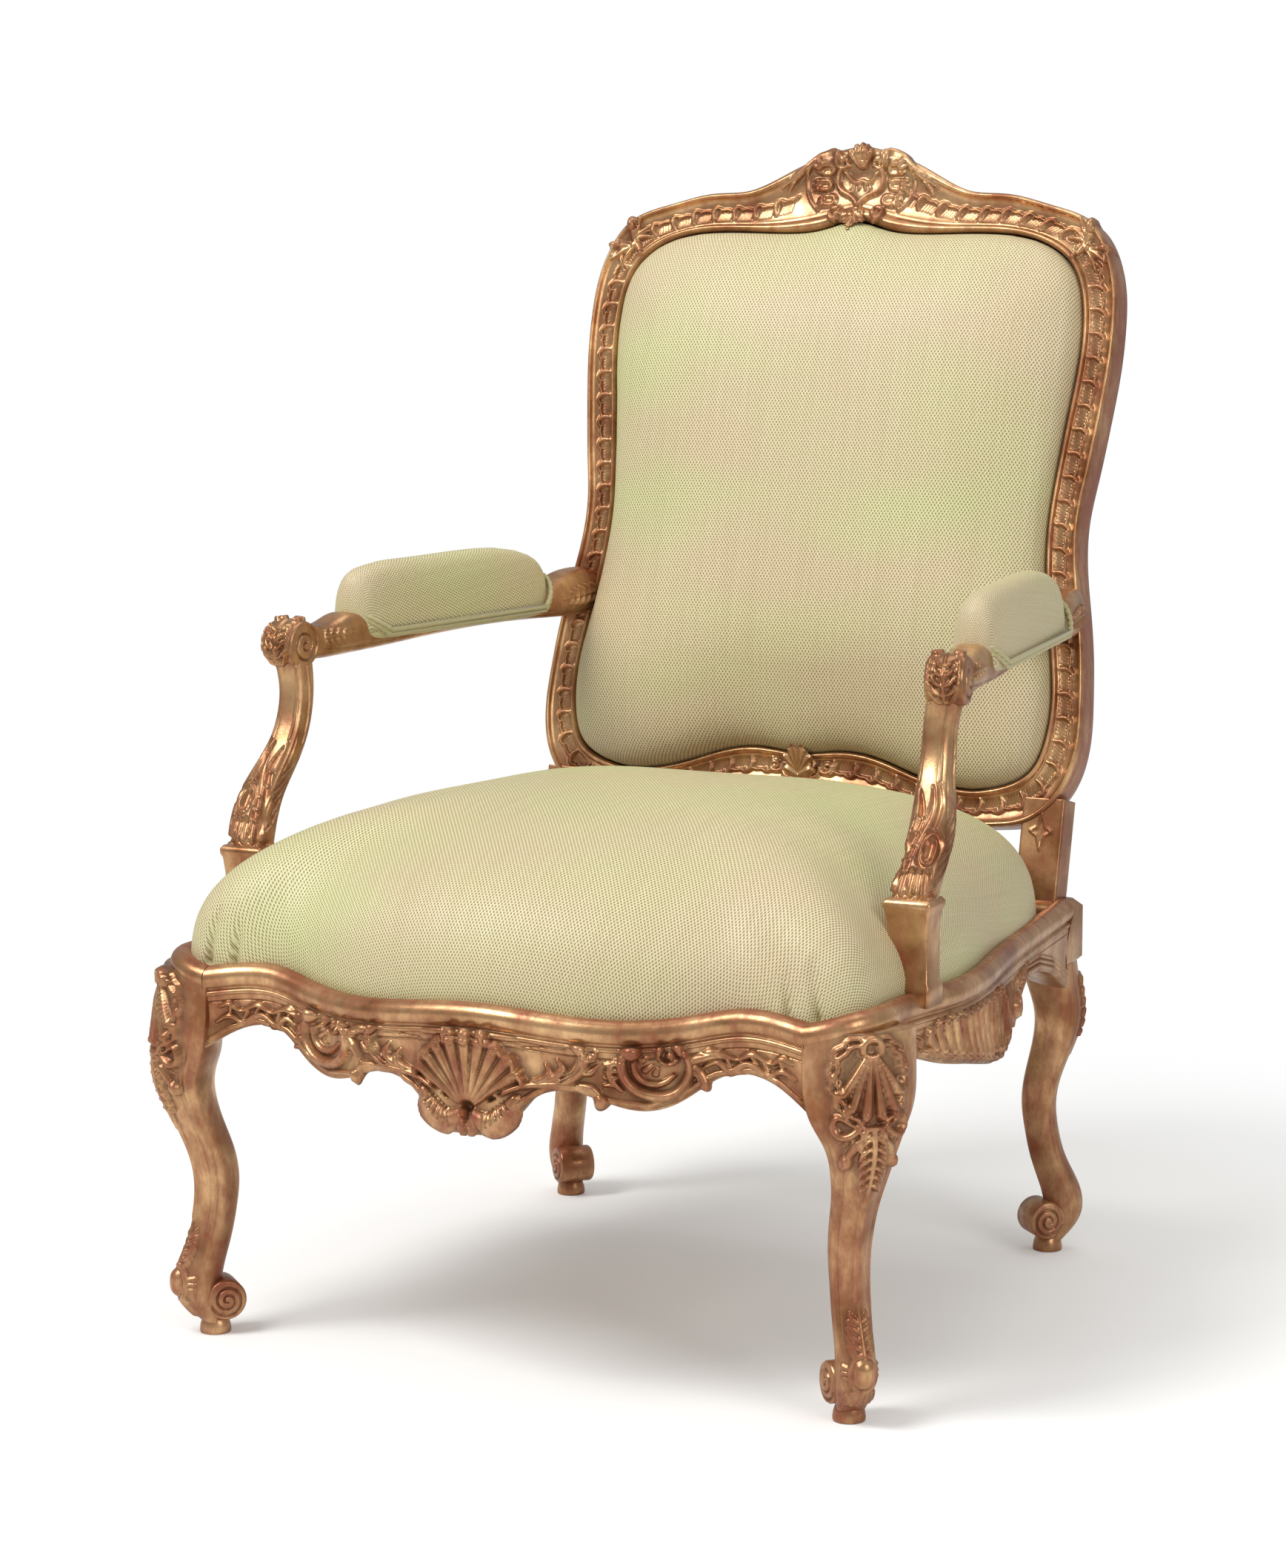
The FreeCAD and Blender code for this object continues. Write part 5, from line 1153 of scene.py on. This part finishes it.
# Back cushion: stuffed over webbing in the back frame, under the same silk.
# The cover is drawn to the rebate behind the frame's inner bead and tacked there; it is filled like the seat.
BACK_SHAPE = ((0, 1.0), (0.3, 1.0), (0.5, 0.985), (0.7, 0.93), (0.85, 0.80), (0.95, 0.58), (0.99, 0.34),
              (1.0, 0.08))
BACK_DEPTH, BACK_MIDDLE = 65, 710
inner = FRAME_ROWS[:, :2]
ring = closed_ring(np.vstack([inner, inner[-2:0:-1] * (-1, 1)]), 700)
shape = crown_rows(BACK_SHAPE, BACK_DEPTH, 250)
u = ring[None, :, 0] * shape[:, 1:] * 0.997
z = BACK_MIDDLE + (ring[None, :, 1] - BACK_MIDDLE) * shape[:, 1:] * 0.998
back_grid = on_back(u, z, -19 + BACK_DEPTH * shape[:, :1])
up_back = (0, math.sin(RAKE), math.cos(RAKE))
out_back = (0, -math.cos(RAKE), math.sin(RAKE))
cushion("back_cushion", back_grid, ((1, 0, 0), up_back, out_back), ((0, BACK_FOOT, 0), out_back, 4), 6,
        ("back_cover", "back_stuffing"))

# Arm pads: a small stuffed roll on each arm under the same silk, filled like the seat and tacked to the arm.
# A double twisted welt covers the tacked edge all round.

# Silk cord: twisted strands in the green and tan of the cover, two cords side by side.
# The eye sees a matt rope, a little lighter and darker along its strands.
silk_cord = new_material("twisted_silk_cord")
place = add_node(silk_cord, "TexCoord", {}).outputs["Object"]
# Strands about 1.5 mm thick.
strand = add_node(silk_cord, "TexNoise", {"Vector": place, "Scale": 1 / 0.0015, "Detail": 2.0})
strand_tone = add_node(
    silk_cord, "MixRGB",
    {"Fac": strand.outputs["Fac"], "Color1": linear("#C4BE92"), "Color2": linear("#9C8F5E")},
)
twine = add_node(silk_cord, "Bump", {"Height": strand.outputs["Fac"], "Strength": 0.3, "Distance": 0.0003})
cord_face = add_node(
    silk_cord, "BsdfPrincipled",
    {"Base Color": strand_tone.outputs[0], "Roughness": 0.65, "Sheen Weight": 0.2,
     "Normal": twine.outputs["Normal"]},
)
add_node(silk_cord, "OutputMaterial", {"Surface": cord_face.outputs[0]})
# Rows of a pad: place from front to back, share of its width, and top.
PAD = ((-51, 0.10, 622), (-50, 0.45, 638), (-45, 0.74, 653), (-32, 0.93, 661), (-6, 1.0, 665),
       (30, 1.0, 666), (100, 1.0, 667), (180, 0.98, 665), (226, 0.88, 656), (244, 0.64, 645),
       (250, 0.4, 635), (252, 0.10, 626))
PAD_HALF = 25
PAD_FOOT = 597


def pad_middle(y):
    """The arm sweeps outward towards its front, and the pad with it."""
    return 258 + (318 - y) * 0.1406


def welt_cord(out, drop):
    """One cord round the foot of a pad, lifted over its ends, twisted once in 14 mm."""
    front, rear = -48, 250
    halfway = (front + rear) / 2
    bend = PAD_HALF + out
    turn = np.linspace(0, 2 * np.pi, 361)[:-1]
    run = np.where(np.sin(turn) > 0, rear - bend, front + bend)
    y = run + bend * np.sin(turn)
    path = np.stack([pad_middle(y) + bend * np.cos(turn), y, np.full(360, 598.0)], axis=1)
    path = np.insert(path, [180], np.linspace(path[179], path[180], 120)[1:-1], axis=0)
    path = np.vstack([path, np.linspace(path[-1], path[0], 120)[1:-1]])
    ends = np.clip((np.abs(path[:, 1] - halfway) - 110) / 40, 0, 1) ** 1.6
    path[:, 2] += ends * np.where(path[:, 1] > halfway, 36, 23) - drop * (1 - 0.3 * ends)
    way = np.roll(path, -1, axis=0) - np.roll(path, 1, axis=0)
    way /= np.linalg.norm(way, axis=1, keepdims=True)
    aside = np.cross(way, (0, 0, 1.0))
    aside /= np.linalg.norm(aside, axis=1, keepdims=True)
    over = np.cross(aside, way)
    turn = np.linspace(0, 2 * np.pi, 14, endpoint=False)
    gone = np.cumsum(np.linalg.norm(np.roll(path, -1, axis=0) - path, axis=1))
    thick = 2.2 + 0.3 * np.sin(2 * turn[None] - 2 * np.pi * gone[:, None] / 7.0)
    ring = aside[:, None] * np.cos(turn)[None, :, None] + over[:, None] * np.sin(turn)[None, :, None]
    cord = path[:, None] + thick[:, :, None] * ring
    return skin(np.vstack([cord, cord[:1]]), around=True)


table = np.array(PAD)
chord = np.concatenate([[0], np.cumsum(np.hypot(np.diff(table[:, 0]), np.diff(table[:, 1] * PAD_HALF)))])
turn = np.linspace(0, 2 * np.pi, 96, endpoint=False)
c, s = np.cos(turn), np.sin(turn)
welt = [welt_cord(2.6, -2.2), welt_cord(1.6, 2.5)]
for hand, side in ((1, "right"), (-1, "left")):
    rows = []
    for y, wide, top in spline(chord, table, np.linspace(0, chord[-1], 90)):
        foot = PAD_FOOT + 22 * (1 - min(1, wide)) ** 1.5
        lift = np.where(s > 0, (top - foot) * np.abs(s) ** 0.85, 4 * s)
        x = hand * (pad_middle(y) + PAD_HALF * wide * np.sign(c) * np.abs(c) ** 0.7)
        rows.append(np.stack([x, np.full(96, y), foot + lift], axis=1))
    pad_grid = np.array(rows)
    if hand > 0:
        pad_grid = pad_grid[:, ::-1]
    cushion(f"arm_pad_{side}", pad_grid, UPRIGHT, ((0, 0, 0), (0, 0, 1), 606), 4,
            (f"arm_pad_cover_{side}", f"arm_pad_stuffing_{side}"), crowned=False)
    piece(f"twisted_arm_welt_{side}", welt if hand > 0 else mirrored(welt), silk_cord, f"arm_welt_{side}")

# Outside back: one piece of the same silk, cut to the outline of the back frame.
# It is stretched flat over the rear rebate and tacked behind the frame's edge.
tuck = FRAME_ROWS[:, :2] + 0.29 * (FRAME_ROWS[:, 2:] - FRAME_ROWS[:, :2])
ring = closed_ring(np.vstack([tuck, tuck[-2:0:-1] * (-1, 1)]), 700)
panel = []
for share in (1.0, 0.95, 0.85, 0.7, 0.5, 0.3, 0.1, 0.002):
    height = BACK_MIDDLE + (ring[:, 1] - BACK_MIDDLE) * share
    panel.append(on_back(ring[:, 0] * share, height, -30 - 1.5 * (1 - share ** 4)))
points, faces, _, _ = skin(np.array(panel), around=True)
outside = bpy.data.meshes.new("outside_back")
outside.from_pydata(((points + PLAN_SHIFT) / 1000).tolist(), [], faces)
outside.shade_smooth()
outside.materials.append(silk)
lay_threads(outside, points[:, 0], points @ np.array(up_back))
outside_back = bpy.data.objects.new("outside_back", outside)
bpy.context.scene.collection.objects.link(outside_back)
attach(outside_back, "root")
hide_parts("outside_back_cloth")

# Hidden frame: rear rail, corner braces and joint pegs of plain beech, with iron screws.
# They are the CAD solids, glued, screwed or driven into the frame.

# Planed beech: bare brown wood without polish.
# The eye sees fine darker streaks along the rear rail.
beech = new_material("planed_beech")
place = add_node(beech, "TexCoord", {}).outputs["Object"]
# Growth rings about 3 mm apart, drawn out along the rear rail.
stretched = add_node(beech, "Mapping", {"Vector": place, "Scale": (0.08, 1.0, 1.0)})
rings = add_node(beech, "TexNoise", {"Vector": stretched.outputs[0], "Scale": 1 / 0.003, "Detail": 3.0})
wood = add_node(
    beech, "MixRGB",
    {"Fac": rings.outputs["Fac"], "Color1": linear("#A9794E"), "Color2": linear("#8A5C38")},
)
pores = add_node(beech, "Bump", {"Height": rings.outputs["Fac"], "Strength": 0.2, "Distance": 0.0003})
planed = add_node(
    beech, "BsdfPrincipled",
    {"Base Color": wood.outputs[0], "Roughness": 0.6, "Normal": pores.outputs["Normal"]},
)
add_node(beech, "OutputMaterial", {"Surface": planed.outputs[0]})

# Turned iron: grey metal with brown rust in patches of 3 mm.
# The eye sees a dull dark screw head.
iron = new_material("turned_iron")
place = add_node(iron, "TexCoord", {}).outputs["Object"]
rust = add_node(iron, "TexNoise", {"Vector": place, "Scale": 1 / 0.003, "Detail": 3.0})
shade = add_node(
    iron, "MixRGB", {"Fac": rust.outputs["Fac"], "Color1": linear("#6A655F"), "Color2": linear("#4A3A30")},
)
worked = add_node(iron, "MapRange", {"Value": rust.outputs["Fac"], "To Min": 0.35, "To Max": 0.6})
forged = add_node(
    iron, "BsdfPrincipled",
    {"Base Color": shade.outputs[0], "Metallic": 1.0, "Roughness": worked.outputs["Result"]},
)
add_node(iron, "OutputMaterial", {"Surface": forged.outputs[0]})

# Webbing: straps of jute 52 mm wide, laid in two directions and strained over the rails, and a hessian sheet.
# They are the CAD solids, nailed to the seat and back frames; those of the seat are seen from below only.

# Woven jute: coarse yarn.
# The eye sees a dull, light brown cloth with a dark gap round each yarn.
jute = new_material("woven_jute")
place = add_node(jute, "TexCoord", {}).outputs["Object"]
# Yarns 2.4 mm apart.
yarns = add_node(
    jute, "TexBrick",
    {"Vector": place, "Color1": linear("#A98B5F"), "Color2": linear("#9A7B50"), "Mortar": linear("#6B5230"),
     "Scale": 1.0, "Mortar Size": 0.0004, "Mortar Smooth": 0.6, "Brick Width": 0.0048, "Row Height": 0.0024},
)
coarse = add_node(
    jute, "Bump", {"Height": yarns.outputs["Fac"], "Strength": 0.5, "Distance": 0.0006}, invert=True,
)
woven = add_node(
    jute, "BsdfPrincipled",
    {"Base Color": yarns.outputs["Color"], "Roughness": 0.9, "Normal": coarse.outputs["Normal"]},
)
add_node(jute, "OutputMaterial", {"Surface": woven.outputs[0]})
KEPT = {
    beech: ("rear_rail", "corner_braces", "seat_joint_pegs", "back_joint_pegs", "arm_joint_pegs"),
    iron: ("brace_screws",),
    jute: ("seat_webbing_lengthwise", "seat_webbing_crosswise", "seat_hessian", "back_webbing_upright",
           "back_webbing_crosswise", "back_hessian"),
}
for material, names in KEPT.items():
    for name in names:
        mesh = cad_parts[name].data
        mesh.materials.clear()
        mesh.materials.append(material)

# Studio: a white paper floor that takes the chair's shadow and runs out into a white surround.
# Three large soft lights: a key from the upper left, a weak fill from the right and a weak one overhead.
paper = new_material("white_studio_paper")
place = add_node(paper, "TexCoord", {}).outputs["Object"]
fibre = add_node(paper, "TexNoise", {"Vector": place, "Scale": 1 / 0.2, "Detail": 2.0})
sheet_tone = add_node(
    paper, "MixRGB", {"Fac": fibre.outputs["Fac"], "Color1": linear("#F6F6F5"), "Color2": linear("#F2F2F1")},
)
matt = add_node(paper, "BsdfDiffuse", {"Color": sheet_tone.outputs[0]})
glow = add_node(paper, "Emission", {"Color": linear("#FFFFFF"), "Strength": 0.16})
both = add_node(paper, "AddShader", {0: matt.outputs[0], 1: glow.outputs[0]})
# Away from the chair the paper runs out into the white surround, as a swept backdrop does.
from_chair = add_node(paper, "VectorMath", {0: place}, operation="LENGTH")
sweep = add_node(
    paper, "MapRange", {"Value": from_chair.outputs["Value"], "From Min": 0.55, "From Max": 1.25},
    interpolation_type="SMOOTHSTEP",
)
surround = add_node(paper, "Emission", {"Color": linear("#FFFFFF"), "Strength": 1.0})
swept = add_node(paper, "MixShader", {0: sweep.outputs["Result"], 1: both.outputs[0], 2: surround.outputs[0]})
seen = add_node(paper, "LightPath", {}).outputs["Is Camera Ray"]
floor_face = add_node(paper, "MixShader", {0: seen, 1: matt.outputs[0], 2: swept.outputs[0]})
add_node(paper, "OutputMaterial", {"Surface": floor_face.outputs[0]})
floor_mesh = bpy.data.meshes.new("floor")
floor_mesh.from_pydata([(-9, -9, 0), (9, -9, 0), (9, 9, 0), (-9, 9, 0)], [], [(0, 1, 2, 3)])
floor_mesh.materials.append(paper)
floor = bpy.data.objects.new("floor", floor_mesh)
bpy.context.scene.collection.objects.link(floor)

world = bpy.data.worlds.new("white_studio")
bpy.context.scene.world = world
world.use_nodes = True
world.node_tree.nodes.clear()
path = add_node(world, "LightPath", {})
room = add_node(world, "Background", {"Color": linear("#F4F4F2"), "Strength": 0.45})
white = add_node(world, "Background", {"Color": linear("#FFFFFF"), "Strength": 1.0})
chosen = add_node(
    world, "MixShader", {0: path.outputs["Is Camera Ray"], 1: room.outputs[0], 2: white.outputs[0]},
)
add_node(world, "OutputWorld", {"Surface": chosen.outputs[0]})
for name, spot, size, watts in (
    ("key_softbox", (-1.5, -2.2, 3.4), 1.8, 118),
    ("fill_softbox", (2.8, -1.4, 1.8), 1.6, 30),
    ("top_softbox", (0.2, 0.4, 3.4), 2.2, 24),
):
    lamp = bpy.data.lights.new(name, "AREA")
    lamp.shape, lamp.size, lamp.energy = "SQUARE", size, watts
    lamp_object = bpy.data.objects.new(name, lamp)
    lamp_object.location = spot
    lamp_object.rotation_euler = (Vector((0, 0, 0.5)) - Vector(spot)).to_track_quat("-Z", "Y").to_euler()
    bpy.context.scene.collection.objects.link(lamp_object)

# Camera: a long lens about a metre from the floor, to the right of the chair.
# It stands where the photograph's was solved to be, turned 26 degrees and tilted 8 degrees down.
camera_data = bpy.data.cameras.new("camera")
camera_data.lens = 94.92
camera_data.sensor_width = 36
camera = bpy.data.objects.new("camera", camera_data)
turn, tilt = math.radians(26.10), math.radians(8.13)
back = Vector((math.sin(turn) * math.cos(tilt), -math.cos(turn) * math.cos(tilt), math.sin(tilt)))
right = Vector((math.cos(turn), math.sin(turn), 0))
stand = Matrix((right, back.cross(right), back)).transposed().to_4x4()
stand.translation = (1.61, -3.346 + PLAN_SHIFT[1] / 1000, 1.004)
camera.matrix_world = stand
bpy.context.scene.collection.objects.link(camera)
bpy.context.scene.camera = camera
bpy.context.scene.view_settings.view_transform = "Standard"
